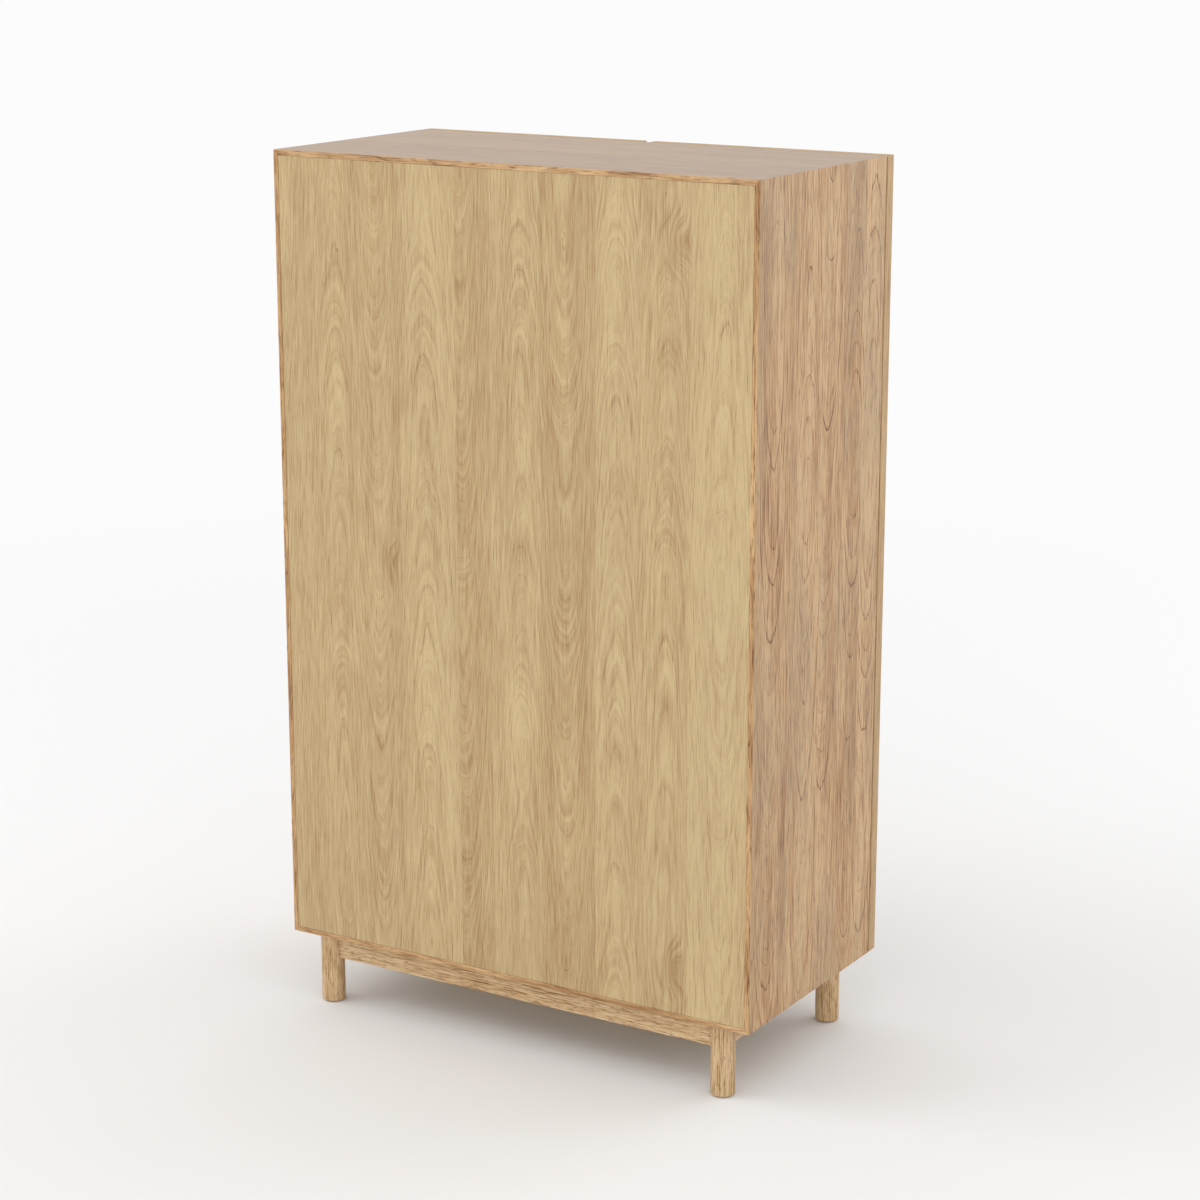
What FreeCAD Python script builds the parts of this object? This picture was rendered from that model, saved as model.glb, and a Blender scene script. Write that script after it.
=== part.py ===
import FreeCAD, Part
import os
from math import cos, radians, sin, sqrt

# Louvred door cabinet on a frame with four round legs, in millimetres.
# The origin is on the floor at the middle of the outline, +Z is up and the doors face -Y.

# General fits
fit = 0.05  # radial clearance of pins, screws and bores
end_gap = 0.4  # free length left at the blind end of a hole or mortise
overrun = 5.0  # how far cutting shapes reach past the faces they cut

# Carcase: four panels mitred at the corners, with a rebate for the back
cabinet_width = 800.0
carcase_height = 1200.0
carcase_depth = 377.0
panel_thickness = 18.0
edge_round = 1.0  # arris of the panels, the divider and the shelves
back_lip = 8.0  # panel edge that shows round the back
back_thickness = 8.0
back_recess = 0.5
back_gap = 0.3
spline_width = 14.0
spline_thickness = 4.0
spline_from_inside = 9.0  # from the inner corner, along the mitre
spline_end_margin = 30.0

# Centre divider, set back to leave room for fingertips behind the doors
divider_thickness = 18.0
divider_setback = 22.0
dowel_radius = 4.0
dowel_in_panel = 10.0
dowel_in_divider = 14.0
dowel_margin = 60.0
dowels_per_end = 3

# Shelves on pins
shelf_thickness = 18.0
shelf_setback = 25.0
shelf_side_gap = 0.8
shelf_back_gap = 1.5
shelves_per_bay = 3
pin_radius = 2.5
pin_shank = 6.5
pin_row_inset = 60.0
pin_hole_pitch = 32.0
pin_hole_steps = (-1, 0, 1)
ledge_reach = 7.0
ledge_width = 9.0
ledge_thickness = 3.0

# Base frame
leg_radius = 18.0
leg_height = 110.0
leg_foot_round = 2.0
leg_side_inset = 54.5  # leg axis from the outer side face
leg_edge_inset = 25.5  # leg axis from the front and back edges of the carcase
rail_height = 38.0
rail_thickness = 18.0
rail_outside_axis = 5.5  # outer face of a rail, outwards of the leg axis
rail_edge_round = 1.0
leg_tenon_thickness = 8.0
leg_tenon_shoulder = 5.0
glide_radius = 12.0
glide_recess = 2.5
glide_proud = 1.5
base_screw_radius = 2.1
base_screw_head_radius = 4.0
base_screw_head_height = 3.0
base_screw_bore_radius = 4.6
base_screw_bore_depth = 18.0
base_screw_in_panel = 12.0
base_screw_margin = 80.0
screws_per_long_rail = 3
screws_per_short_rail = 2

# Doors
door_gap = 3.0  # between the carcase and the back of a door
door_thickness = 20.0
finger_gap = 15.0  # between the two doors
door_edge_round = 1.5
stile_width = 52.0
door_rail_height = 60.0
door_tenon_length = 30.0
door_tenon_thickness = 8.0
door_tenon_shoulder = 8.0
slats_per_door = 40
slat_width = 30.0
slat_thickness = 6.0  # the long edges are fully round
slat_angle = 62.0  # degrees from the horizontal, front edge low
slat_housing = 8.0
slat_end_margin = 1.5  # from the end slats to the rails
buffer_radius = 4.5
buffer_clearance = 0.3
buffer_inset = 26.0  # from the meeting edge

# Concealed hinges, three to a door
hinge_end_margin = 100.0  # from the ends of the door to the end hinges
hinge_above_shelf = 71.0  # middle hinge, above the middle shelf
pivot_from_edge = 6.5  # pivot axis from the outer edge of the door
pivot_depth = 8.5  # pivot axis from the back of the door
pivot_radius = 1.25
pivot_length = 16.0
cup_radius = 17.5
cup_depth = 12.0
cup_from_edge = 3.0
cup_floor = 1.0
cup_near_wall = 1.1  # wall of the cup beside the pivot
cup_far_wall = 3.5
cup_mouth_width = 10.0
flange_thickness = 1.0
flange_rim = 0.7
ear_offset = 6.0
ear_width = 16.0
ear_span = 64.0
cup_screw_pitch = 48.0
cup_screw_radius = 1.75
cup_screw_head_radius = 3.5
cup_screw_head_height = 1.2
cup_screw_length = 12.0
eye_radius = 2.1
arm_side_play = 0.5  # each side of the arm, in the mouth of the cup
arm_floor_play = 0.4
neck_thickness = 2.2
neck_corner = 2.5
post_from_panel = 4.4
post_thickness = 4.0
arm_width = 14.0
arm_start = 8.0  # behind the front edge of the carcase
arm_end = 64.0
arm_web = 2.2
arm_skirt_gap = 0.4
arm_round = 1.5
arm_screw_radius = 1.8
arm_screw_head_radius = 3.0
arm_screw_head_height = 1.0
arm_screw_length = 5.0
arm_screw_setbacks = (26.0, 52.0)  # behind the front edge of the carcase
plate_thickness = 3.0
plate_width = 18.0
plate_start = 20.0
plate_end = 54.0
plate_rail_width = 10.0
plate_rail_height = 4.2
plate_rail_start = 16.0
plate_rail_end = 62.0
plate_rail_play = 0.3
wing_thickness = 2.4
wing_width = 16.0
wing_span = 52.0
plate_screw_pitch = 32.0
plate_screw_setback = 37.0
plate_screw_radius = 2.0
plate_screw_head_radius = 4.0
plate_screw_head_height = 1.6
plate_screw_length = 14.0

# Planes that the pieces share
half_width = cabinet_width / 2
outer_depth = carcase_depth + door_gap + door_thickness
back_y = outer_depth / 2
front_y = back_y - carcase_depth
door_back_y = front_y - door_gap
door_front_y = door_back_y - door_thickness
bottom_z = leg_height
top_z = bottom_z + carcase_height
inner_x = half_width - panel_thickness
floor_z = bottom_z + panel_thickness
ceiling_z = top_z - panel_thickness
back_inner_y = back_y - back_recess - back_thickness
left_x = -half_width
meeting_x = -finger_gap / 2

UP = FreeCAD.Vector(0, 0, 1)
ACROSS = FreeCAD.Vector(1, 0, 0)
BACKWARD = FreeCAD.Vector(0, 1, 0)
FORWARD = FreeCAD.Vector(0, -1, 0)
OUTWARD = FreeCAD.Vector(-1, 0, 0)
ORIGIN = FreeCAD.Vector(0, 0, 0)


def box(x0, x1, y0, y1, z0, z1):
    return Part.makeBox(x1 - x0, y1 - y0, z1 - z0, FreeCAD.Vector(x0, y0, z0))


def rod(radius, start, direction, length):
    return Part.makeCylinder(radius, length, start, direction)


def prism(points, path):
    """Solid of a flat outline moved along a path."""
    return Part.Face(Part.makePolygon(points + points[:1])).extrude(path)


def rounded_box(x0, x1, y0, y1, z0, z1, radius):
    block = box(x0, x1, y0, y1, z0, z1)
    return block.makeFillet(radius, block.Edges)


def joined(shapes):
    whole = shapes[0].fuse(shapes[1:])
    return whole.removeSplitter()


def cut_all(shape, tools):
    return shape.cut(Part.makeCompound(tools))


def mirrored(shape):
    """The same piece on the other side of the cabinet."""
    return shape.mirror(ORIGIN, ACROSS)


def both_sides(shapes):
    return shapes + [mirrored(shape) for shape in shapes]


def spaced(first, last, count):
    """Evenly spaced places from the first to the last."""
    return [first + (last - first) * i / (count - 1) for i in range(count)]


def screw(seat, direction, radius, length, head_radius, head_height):
    """Screw whose head stands on the seat and whose shank runs along the direction."""
    shank = rod(radius, seat, direction, length)
    head = Part.makeCone(head_radius, radius, head_height, seat, direction * -1)
    return shank.fuse(head).removeSplitter()


def screw_hole(seat, direction, radius, length):
    """Hole for a screw shank, open at the seat and a little longer than the shank."""
    start = seat - direction * overrun
    return rod(radius + fit, start, direction, length + overrun + end_gap)


# Carcase

def mitred_panel(outline):
    """Panel with an outline in X and Z, running from the front edge to the back edge."""
    points = [FreeCAD.Vector(x, front_y, z) for x, z in outline]
    return prism(points, BACKWARD * carcase_depth)


def mitre_spline(side, end_z, inward):
    """Loose tongue across one mitre, square to the joint."""
    across = spline_width / 2
    thick = spline_thickness / 2
    tongue = box(-across, across, 0, carcase_depth - 2 * spline_end_margin, -thick, thick)
    tongue.rotate(ORIGIN, BACKWARD, side * inward * 45.0)
    step = panel_thickness - spline_from_inside / sqrt(2)
    place = FreeCAD.Vector(side * (half_width - step), front_y + spline_end_margin, end_z + inward * step)
    tongue.translate(place)
    return tongue


def carcase():
    """Top, bottom, left and right panels and the splines in their mitres."""
    outer = rounded_box(-half_width, half_width, front_y, back_y, bottom_z, top_z, edge_round)
    rebate = box(
        -half_width + back_lip,
        half_width - back_lip,
        back_y - back_recess - back_thickness,
        back_y + overrun,
        bottom_z + back_lip,
        top_z - back_lip,
    )
    splines = [mitre_spline(side, z, way) for side in (-1, 1) for z, way in ((bottom_z, 1), (top_z, -1))]
    top = [(-half_width, top_z), (half_width, top_z), (inner_x, ceiling_z), (-inner_x, ceiling_z)]
    bottom = [(-half_width, bottom_z), (half_width, bottom_z), (inner_x, floor_z), (-inner_x, floor_z)]
    left = [(-half_width, bottom_z), (-half_width, top_z), (-inner_x, ceiling_z), (-inner_x, floor_z)]
    panels = []
    for outline in (top, bottom, left):
        panel = mitred_panel(outline).common(outer)
        panels.append(cut_all(panel, [rebate] + splines))
    return panels, splines


def back_panel():
    edge = back_lip + back_gap
    return box(
        -half_width + edge,
        half_width - edge,
        back_inner_y,
        back_y - back_recess,
        bottom_z + edge,
        top_z - edge,
    )


# Divider, shelves and pins

def dowels():
    """Dowels that hold the divider between the bottom panel and the top panel."""
    pegs = []
    length = dowel_in_panel + dowel_in_divider
    for y in spaced(front_y + divider_setback + dowel_margin, back_inner_y - dowel_margin, dowels_per_end):
        pegs.append(rod(dowel_radius, FreeCAD.Vector(0, y, floor_z - dowel_in_panel), UP, length))
        pegs.append(rod(dowel_radius, FreeCAD.Vector(0, y, ceiling_z - dowel_in_divider), UP, length))
    return pegs


def dowel_holes():
    holes = []
    for peg in dowels():
        bounds = peg.BoundBox
        start = FreeCAD.Vector(0, bounds.Center.y, bounds.ZMin - end_gap)
        holes.append(rod(dowel_radius + fit, start, UP, bounds.ZLength + 2 * end_gap))
    return holes


def shelf_levels():
    """Undersides of the shelves, with equal clear heights between them."""
    clear = (ceiling_z - floor_z - shelves_per_bay * shelf_thickness) / (shelves_per_bay + 1)
    return [floor_z + clear + i * (clear + shelf_thickness) for i in range(shelves_per_bay)]


def shelf(underside):
    """Shelf of the left bay."""
    return rounded_box(
        -inner_x + shelf_side_gap,
        -divider_thickness / 2 - shelf_side_gap,
        front_y + shelf_setback,
        back_inner_y - shelf_back_gap,
        underside,
        underside + shelf_thickness,
        edge_round,
    )


def pin_rows():
    return (front_y + shelf_setback + pin_row_inset, back_inner_y - shelf_back_gap - pin_row_inset)


def shelf_pins():
    """Pins of the left bay: a shank in the wall and a flat ledge under the shelf."""
    pins = []
    for level in shelf_levels():
        for y in pin_rows():
            for wall_x, way in ((-inner_x, 1), (-divider_thickness / 2, -1)):
                seat = FreeCAD.Vector(wall_x, y, level - pin_radius)
                shank = rod(pin_radius, seat, ACROSS * -way, pin_shank)
                reach = sorted((wall_x, wall_x + way * ledge_reach))
                ledge = box(
                    reach[0],
                    reach[1],
                    y - ledge_width / 2,
                    y + ledge_width / 2,
                    level - ledge_thickness,
                    level,
                )
                pins.append(shank.fuse(ledge).removeSplitter())
    return pins


def pin_holes(wall_x, way):
    """Rows of holes in one wall; way points from the wall into the bay."""
    holes = []
    for level in shelf_levels():
        for step in pin_hole_steps:
            z = level - pin_radius + step * pin_hole_pitch
            for y in pin_rows():
                mouth = FreeCAD.Vector(wall_x + way * overrun, y, z)
                holes.append(rod(pin_radius + fit, mouth, ACROSS * -way, overrun + pin_shank + end_gap))
    return holes


def divider():
    board = box(
        -divider_thickness / 2,
        divider_thickness / 2,
        front_y + divider_setback,
        back_inner_y,
        floor_z,
        ceiling_z,
    )
    front = [e for e in board.Edges if e.BoundBox.YMax < front_y + divider_setback + edge_round]
    upright = [e for e in front if e.BoundBox.ZLength > divider_thickness]
    board = board.makeFillet(edge_round, upright)
    half = divider_thickness / 2
    return cut_all(board, dowel_holes() + pin_holes(-half, -1) + pin_holes(half, 1))


# Base frame

leg_x = half_width - leg_side_inset
leg_back_y = back_y - leg_edge_inset
leg_front_y = front_y + leg_edge_inset
rail_seat = rail_thickness - rail_outside_axis + end_gap  # end of a rail from the leg axis
tenon_reach = leg_tenon_thickness / 2 + end_gap  # end of a tenon from the leg axis
rail_bottom_z = bottom_z - rail_height


def base_rail(length):
    """Rail along X from the middle of its span, tenoned at both ends, outer face towards +Y."""
    body_end = length / 2 - rail_seat
    inner_y = rail_outside_axis - rail_thickness
    body = box(-body_end, body_end, inner_y, rail_outside_axis, rail_bottom_z, bottom_z)
    lengthwise = [e for e in body.Edges if e.BoundBox.XLength > rail_thickness]
    low = [e for e in lengthwise if e.BoundBox.ZMax < bottom_z - rail_edge_round]
    body = body.makeFillet(rail_edge_round, low)
    tenon_end = length / 2 - tenon_reach
    tenon = box(
        -tenon_end,
        tenon_end,
        -leg_tenon_thickness / 2,
        leg_tenon_thickness / 2,
        rail_bottom_z + leg_tenon_shoulder,
        bottom_z - leg_tenon_shoulder,
    )
    return body.fuse(tenon).removeSplitter()


def base_screws(length, count):
    """Screws up through a rail, as seats on the rail's own line."""
    y = rail_outside_axis - rail_thickness / 2
    z = rail_bottom_z + base_screw_bore_depth
    reach = length / 2 - base_screw_margin
    return [FreeCAD.Vector(x, y, z) for x in spaced(-reach, reach, count)]


def placed(shape, turn, x, y):
    moved = shape.copy()
    moved.rotate(ORIGIN, UP, turn)
    moved.translate(FreeCAD.Vector(x, y, 0))
    return moved


def base_frame():
    """Rails and screws by name, screw holes for the bottom panel, and legs by name."""
    middle_y = (leg_front_y + leg_back_y) / 2
    long_span = 2 * leg_x
    short_span = leg_back_y - leg_front_y
    places = {
        "back_rail": (long_span, screws_per_long_rail, 0, 0, leg_back_y),
        "front_rail": (long_span, screws_per_long_rail, 180, 0, leg_front_y),
        "left_rail": (short_span, screws_per_short_rail, 90, -leg_x, middle_y),
        "right_rail": (short_span, screws_per_short_rail, -90, leg_x, middle_y),
    }
    rails = {}
    screws = []
    holes = []
    shank = bottom_z + base_screw_in_panel - rail_bottom_z - base_screw_bore_depth
    for name, (span, count, turn, x, y) in places.items():
        rail = base_rail(span)
        for seat in base_screws(span, count):
            hole = screw_hole(seat, UP, base_screw_radius, shank)
            bore = rod(base_screw_bore_radius, seat - UP * base_screw_bore_depth, UP, base_screw_bore_depth)
            rail = rail.cut(hole).cut(bore)
            holes.append(placed(hole, turn, x, y))
            one = screw(seat, UP, base_screw_radius, shank, base_screw_head_radius, base_screw_head_height)
            screws.append(placed(one, turn, x, y))
        rails[name] = placed(rail, turn, x, y)
    legs = {}
    glides = []
    for end, y in (("front", leg_front_y), ("back", leg_back_y)):
        for side, x in (("left", -leg_x), ("right", leg_x)):
            foot = FreeCAD.Vector(x, y, glide_proud)
            leg = rod(leg_radius, foot, UP, leg_height - glide_proud)
            rim = [e for e in leg.Edges if e.BoundBox.ZMax < glide_proud + leg_foot_round]
            leg = leg.makeFillet(leg_foot_round, rim)
            glide = rod(glide_radius, FreeCAD.Vector(x, y, 0), UP, glide_proud + glide_recess)
            socket = rod(glide_radius + fit, foot - UP * overrun, UP, overrun + glide_recess)
            legs["leg_" + end + "_" + side] = cut_all(leg, [socket] + list(rails.values()))
            glides.append(glide)
    return rails, screws, holes, legs, glides


# Hinges of the left door. Places are given from the outer side face inwards (u)
# and from the front edge of the carcase forwards (v).

pivot_v = door_gap + pivot_depth
cup_u = cup_from_edge + cup_radius
ear_u = cup_u + ear_offset
flange_v = door_gap - flange_thickness
cup_inside_v = door_gap + cup_depth - cup_floor
rail_top_u = panel_thickness + plate_thickness + plate_rail_height
arm_top_u = rail_top_u + arm_web


def at(u, v, z):
    return FreeCAD.Vector(left_x + u, front_y - v, z)


def block(u0, u1, v0, v1, z0, z1):
    return box(left_x + u0, left_x + u1, front_y - v1, front_y - v0, z0, z1)


def oblong(u0, u1, v0, v1, z, span, along_u):
    """Plate with round ends above and below; its ends are round about u or about v."""
    if along_u:
        radius = (v1 - v0) / 2
        start = at(u0, (v0 + v1) / 2, z)
        axis = ACROSS * (u1 - u0)
    else:
        radius = (u1 - u0) / 2
        start = at((u0 + u1) / 2, v0, z)
        axis = FORWARD * (v1 - v0)
    reach = span / 2 - radius
    middle = block(u0, u1, v0, v1, z - reach, z + reach)
    ends = [rod(radius, start + UP * (way * reach), axis, axis.Length) for way in (-1, 1)]
    return joined([middle] + ends)


def cup_screw_seats(z):
    return [at(ear_u, flange_v, z + way * cup_screw_pitch / 2) for way in (-1, 1)]


def plate_screw_seats(z):
    u = panel_thickness + wing_thickness
    return [at(u, -plate_screw_setback, z + way * plate_screw_pitch / 2) for way in (-1, 1)]


def arm_screw_seats(z):
    return [at(arm_top_u, -setback, z) for setback in arm_screw_setbacks]


def hinge_pivot(z, radius, length):
    return rod(radius, at(pivot_from_edge, pivot_v, z - length / 2), UP, length)


def hinge_cup(z):
    """Cup let into the door, its flange with two ears, and the mouth that the arm turns in."""
    cup = rod(cup_radius, at(cup_u, flange_v, z), FORWARD, flange_thickness + cup_depth)
    rim = rod(cup_radius + flange_rim, at(cup_u, flange_v, z), FORWARD, flange_thickness)
    ears = oblong(ear_u - ear_width / 2, ear_u + ear_width / 2, flange_v, door_gap, z, ear_span, False)
    mouth = block(
        cup_from_edge + cup_near_wall,
        cup_u + cup_radius - cup_far_wall,
        flange_v - overrun,
        cup_inside_v,
        z - cup_mouth_width / 2,
        z + cup_mouth_width / 2,
    )
    pin_hole = hinge_pivot(z, pivot_radius + fit, pivot_length + 2 * end_gap)
    holes = [screw_hole(seat, FORWARD, cup_screw_radius, cup_screw_length) for seat in cup_screw_seats(z)]
    return cut_all(joined([cup, rim, ears]), [mouth, pin_hole] + holes)


def cup_bore(z):
    """What the door's stile loses to one hinge: the bore and the screw holes."""
    bore = rod(cup_radius + fit, at(cup_u, flange_v, z), FORWARD, flange_thickness + cup_depth + end_gap)
    holes = [screw_hole(seat, FORWARD, cup_screw_radius, cup_screw_length) for seat in cup_screw_seats(z)]
    return [bore] + holes


def hinge_arm(z):
    """Arm fixed to its plate, cranked round the side panel into the cup, with an eye on the pivot."""
    width = cup_mouth_width - 2 * arm_side_play
    half_neck = neck_thickness / 2
    neck_top = cup_inside_v - arm_floor_play
    post_u = panel_thickness + post_from_panel
    post_end = post_u + post_thickness
    root_v = -arm_start - post_thickness
    outline = [
        (pivot_from_edge, pivot_v - half_neck),
        (post_u - neck_corner, neck_top - neck_thickness),
        (post_u, neck_top - neck_thickness - neck_corner),
        (post_u, root_v),
        (post_end, root_v),
        (post_end, neck_top - neck_corner),
        (post_end - neck_corner, neck_top),
        (pivot_from_edge, pivot_v + half_neck),
    ]
    neck = prism([at(u, v, z - width / 2) for u, v in outline], UP * width)
    eye = hinge_pivot(z, eye_radius, width)
    body = block(
        panel_thickness + plate_thickness + arm_skirt_gap,
        arm_top_u,
        -arm_end,
        -arm_start,
        z - arm_width / 2,
        z + arm_width / 2,
    )
    lengthwise = [e for e in body.Edges if e.BoundBox.YLength > arm_width]
    crown = [e for e in lengthwise if e.BoundBox.XMax > left_x + rail_top_u]
    body = body.makeFillet(arm_round, crown)
    channel = block(
        panel_thickness,
        rail_top_u,
        -arm_end - overrun,
        -plate_rail_start + plate_rail_play,
        z - plate_rail_width / 2 - plate_rail_play,
        z + plate_rail_width / 2 + plate_rail_play,
    )
    bore = hinge_pivot(z, pivot_radius + fit, width + 2 * overrun)
    holes = [screw_hole(seat, OUTWARD, arm_screw_radius, arm_screw_length) for seat in arm_screw_seats(z)]
    return cut_all(joined([neck, eye, body.cut(channel)]), [bore] + holes)


def hinge_plate(z):
    """Mounting plate on the side panel, with two screw wings and the rail that the arm sits on."""
    half_base = plate_width / 2
    half_rail = plate_rail_width / 2
    base_top = panel_thickness + plate_thickness
    base = block(panel_thickness, base_top, -plate_end, -plate_start, z - half_base, z + half_base)
    rail = block(base_top, rail_top_u, -plate_rail_end, -plate_rail_start, z - half_rail, z + half_rail)
    wings = oblong(
        panel_thickness,
        panel_thickness + wing_thickness,
        -plate_screw_setback - wing_width / 2,
        -plate_screw_setback + wing_width / 2,
        z,
        wing_span,
        True,
    )
    wing_seats = plate_screw_seats(z)
    rail_seats = arm_screw_seats(z)
    holes = [screw_hole(seat, OUTWARD, plate_screw_radius, plate_screw_length) for seat in wing_seats]
    holes += [screw_hole(seat, OUTWARD, arm_screw_radius, arm_screw_length) for seat in rail_seats]
    return cut_all(joined([base, rail, wings]), holes)


def hinge_levels():
    """Heights of the hinges: one near each end and one clear of the middle shelf."""
    middle_shelf = shelf_levels()[shelves_per_bay // 2] + shelf_thickness
    return [bottom_z + hinge_end_margin, middle_shelf + hinge_above_shelf, top_z - hinge_end_margin]


def screws_at(seats_of, direction, radius, length, head_radius, head_height):
    """One screw on each seat of the three hinges."""
    seats = [seat for z in hinge_levels() for seat in seats_of(z)]
    return [screw(seat, direction, radius, length, head_radius, head_height) for seat in seats]


# Left door

frame_left_x = left_x + stile_width
frame_right_x = meeting_x - stile_width
opening_bottom_z = bottom_z + door_rail_height
opening_top_z = top_z - door_rail_height
door_middle_y = (door_back_y + door_front_y) / 2


slat_lean = radians(slat_angle)
SLAT_DOWN = FreeCAD.Vector(0, -cos(slat_lean), -sin(slat_lean))  # towards the front edge of a slat
SLAT_OUT = FreeCAD.Vector(0, -sin(slat_lean), cos(slat_lean))  # square to the face of a slat
slat_edge_reach = (slat_width - slat_thickness) / 2  # from the middle to the axis of a round edge


def slat_levels():
    """Heights of the slats, filling the opening between the rails."""
    rise = slat_edge_reach * sin(slat_lean) + slat_thickness / 2 + slat_end_margin
    return spaced(opening_bottom_z + rise, opening_top_z - rise, slats_per_door)


def slat(level, housing, play):
    """Slat with round edges that reaches into both stiles, and is thicker by the play all round."""
    start = FreeCAD.Vector(frame_left_x - housing, door_middle_y, level)
    low = start + SLAT_DOWN * slat_edge_reach
    high = start - SLAT_DOWN * slat_edge_reach
    out = SLAT_OUT * (slat_thickness / 2 + play)
    down = SLAT_DOWN * (slat_thickness / 2 + play)
    section = [
        Part.LineSegment(high + out, low + out),
        Part.Arc(low + out, low + down, low - out),
        Part.LineSegment(low - out, high - out),
        Part.Arc(high - out, high - down, high + out),
    ]
    wire = Part.Wire([curve.toShape() for curve in section])
    return Part.Face(wire).extrude(ACROSS * (frame_right_x - frame_left_x + 2 * housing))


def door_rail(z0, z1, tenon_length):
    half = door_tenon_thickness / 2
    body = box(frame_left_x, frame_right_x, door_front_y, door_back_y, z0, z1)
    tenon = box(
        frame_left_x - tenon_length,
        frame_right_x + tenon_length,
        door_middle_y - half,
        door_middle_y + half,
        z0 + door_tenon_shoulder,
        z1 - door_tenon_shoulder,
    )
    return body.fuse(tenon).removeSplitter()


def door():
    """Stiles, rails, slats and buffers of the left door."""
    leaf = rounded_box(left_x, meeting_x, door_front_y, door_back_y, bottom_z, top_z, door_edge_round)
    rail_spans = ((bottom_z, opening_bottom_z), (opening_top_z, top_z))
    mortises = [door_rail(z0, z1, door_tenon_length + end_gap) for z0, z1 in rail_spans]
    slots = [slat(level, slat_housing + end_gap, fit) for level in slat_levels()]
    bores = [tool for z in hinge_levels() for tool in cup_bore(z)]
    hinge_stile = leaf.common(box(left_x, frame_left_x, door_front_y, door_back_y, bottom_z, top_z))
    meeting_stile = leaf.common(box(frame_right_x, meeting_x, door_front_y, door_back_y, bottom_z, top_z))
    buffers = []
    for z in (bottom_z + panel_thickness / 2, top_z - panel_thickness / 2):
        spot = FreeCAD.Vector(meeting_x - buffer_inset, door_back_y, z)
        buffers.append(rod(buffer_radius, spot, BACKWARD, door_gap - buffer_clearance))
    return {
        "hinge_stile": cut_all(hinge_stile, mortises + slots + bores),
        "meeting_stile": cut_all(meeting_stile, mortises + slots),
        "bottom_rail": leaf.common(door_rail(*rail_spans[0], door_tenon_length)),
        "top_rail": leaf.common(door_rail(*rail_spans[1], door_tenon_length)),
        "louvres": Part.makeCompound([slat(level, slat_housing, 0) for level in slat_levels()]),
        "buffers": Part.makeCompound(buffers),
    }


def hinges():
    """Hinge pieces of the left door: cups, pins and cup screws ride on the door."""
    levels = hinge_levels()
    cup_screws = screws_at(
        cup_screw_seats,
        FORWARD,
        cup_screw_radius,
        cup_screw_length,
        cup_screw_head_radius,
        cup_screw_head_height,
    )
    return {
        "hinge_cups": Part.makeCompound([hinge_cup(z) for z in levels]),
        "hinge_pins": Part.makeCompound([hinge_pivot(z, pivot_radius, pivot_length) for z in levels]),
        "cup_screws": Part.makeCompound(cup_screws),
        "hinge_arms": Part.makeCompound([hinge_arm(z) for z in levels]),
        "hinge_plates": Part.makeCompound([hinge_plate(z) for z in levels]),
    }


def build():
    pieces = {}
    (top, bottom, left_side), splines = carcase()
    rails, base_fixings, base_holes, legs, glides = base_frame()
    seats = [seat for z in hinge_levels() for seat in plate_screw_seats(z)]
    plate_holes = [screw_hole(seat, OUTWARD, plate_screw_radius, plate_screw_length) for seat in seats]
    left_side = cut_all(left_side, plate_holes + pin_holes(-inner_x, 1))
    pieces["top_panel"] = cut_all(top, dowel_holes())
    pieces["bottom_panel"] = cut_all(bottom, dowel_holes() + base_holes)
    pieces["left_side_panel"] = left_side
    pieces["right_side_panel"] = mirrored(left_side)
    pieces["back_panel"] = back_panel()
    pieces["mitre_splines"] = Part.makeCompound(splines)
    pieces["centre_divider"] = divider()
    pieces["divider_dowels"] = Part.makeCompound(dowels())
    for name, level in zip(("lower", "middle", "upper"), shelf_levels()):
        board = shelf(level)
        pieces["left_shelf_" + name] = board
        pieces["right_shelf_" + name] = mirrored(board)
    pieces["shelf_pins"] = Part.makeCompound(both_sides(shelf_pins()))
    pieces.update(rails)
    pieces.update(legs)
    pieces["base_screws"] = Part.makeCompound(base_fixings)
    pieces["leg_glides"] = Part.makeCompound(glides)
    for name, shape in {**door(), **hinges()}.items():
        pieces["left_" + name] = shape
        pieces["right_" + name] = mirrored(shape)
    plate_screws = screws_at(
        plate_screw_seats,
        OUTWARD,
        plate_screw_radius,
        plate_screw_length,
        plate_screw_head_radius,
        plate_screw_head_height,
    )
    arm_screws = screws_at(
        arm_screw_seats,
        OUTWARD,
        arm_screw_radius,
        arm_screw_length,
        arm_screw_head_radius,
        arm_screw_head_height,
    )
    pieces["plate_screws"] = Part.makeCompound(both_sides(plate_screws))
    pieces["arm_screws"] = Part.makeCompound(both_sides(arm_screws))
    return pieces


os.makedirs("parts", exist_ok=True)
for node, shape in build().items():
    shape.exportStep("parts/" + node + ".step")
    print(node, len(shape.Solids), "solids", shape.isValid(), round(shape.Volume))
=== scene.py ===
from collections import namedtuple
from math import pi, radians, sin

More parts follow.
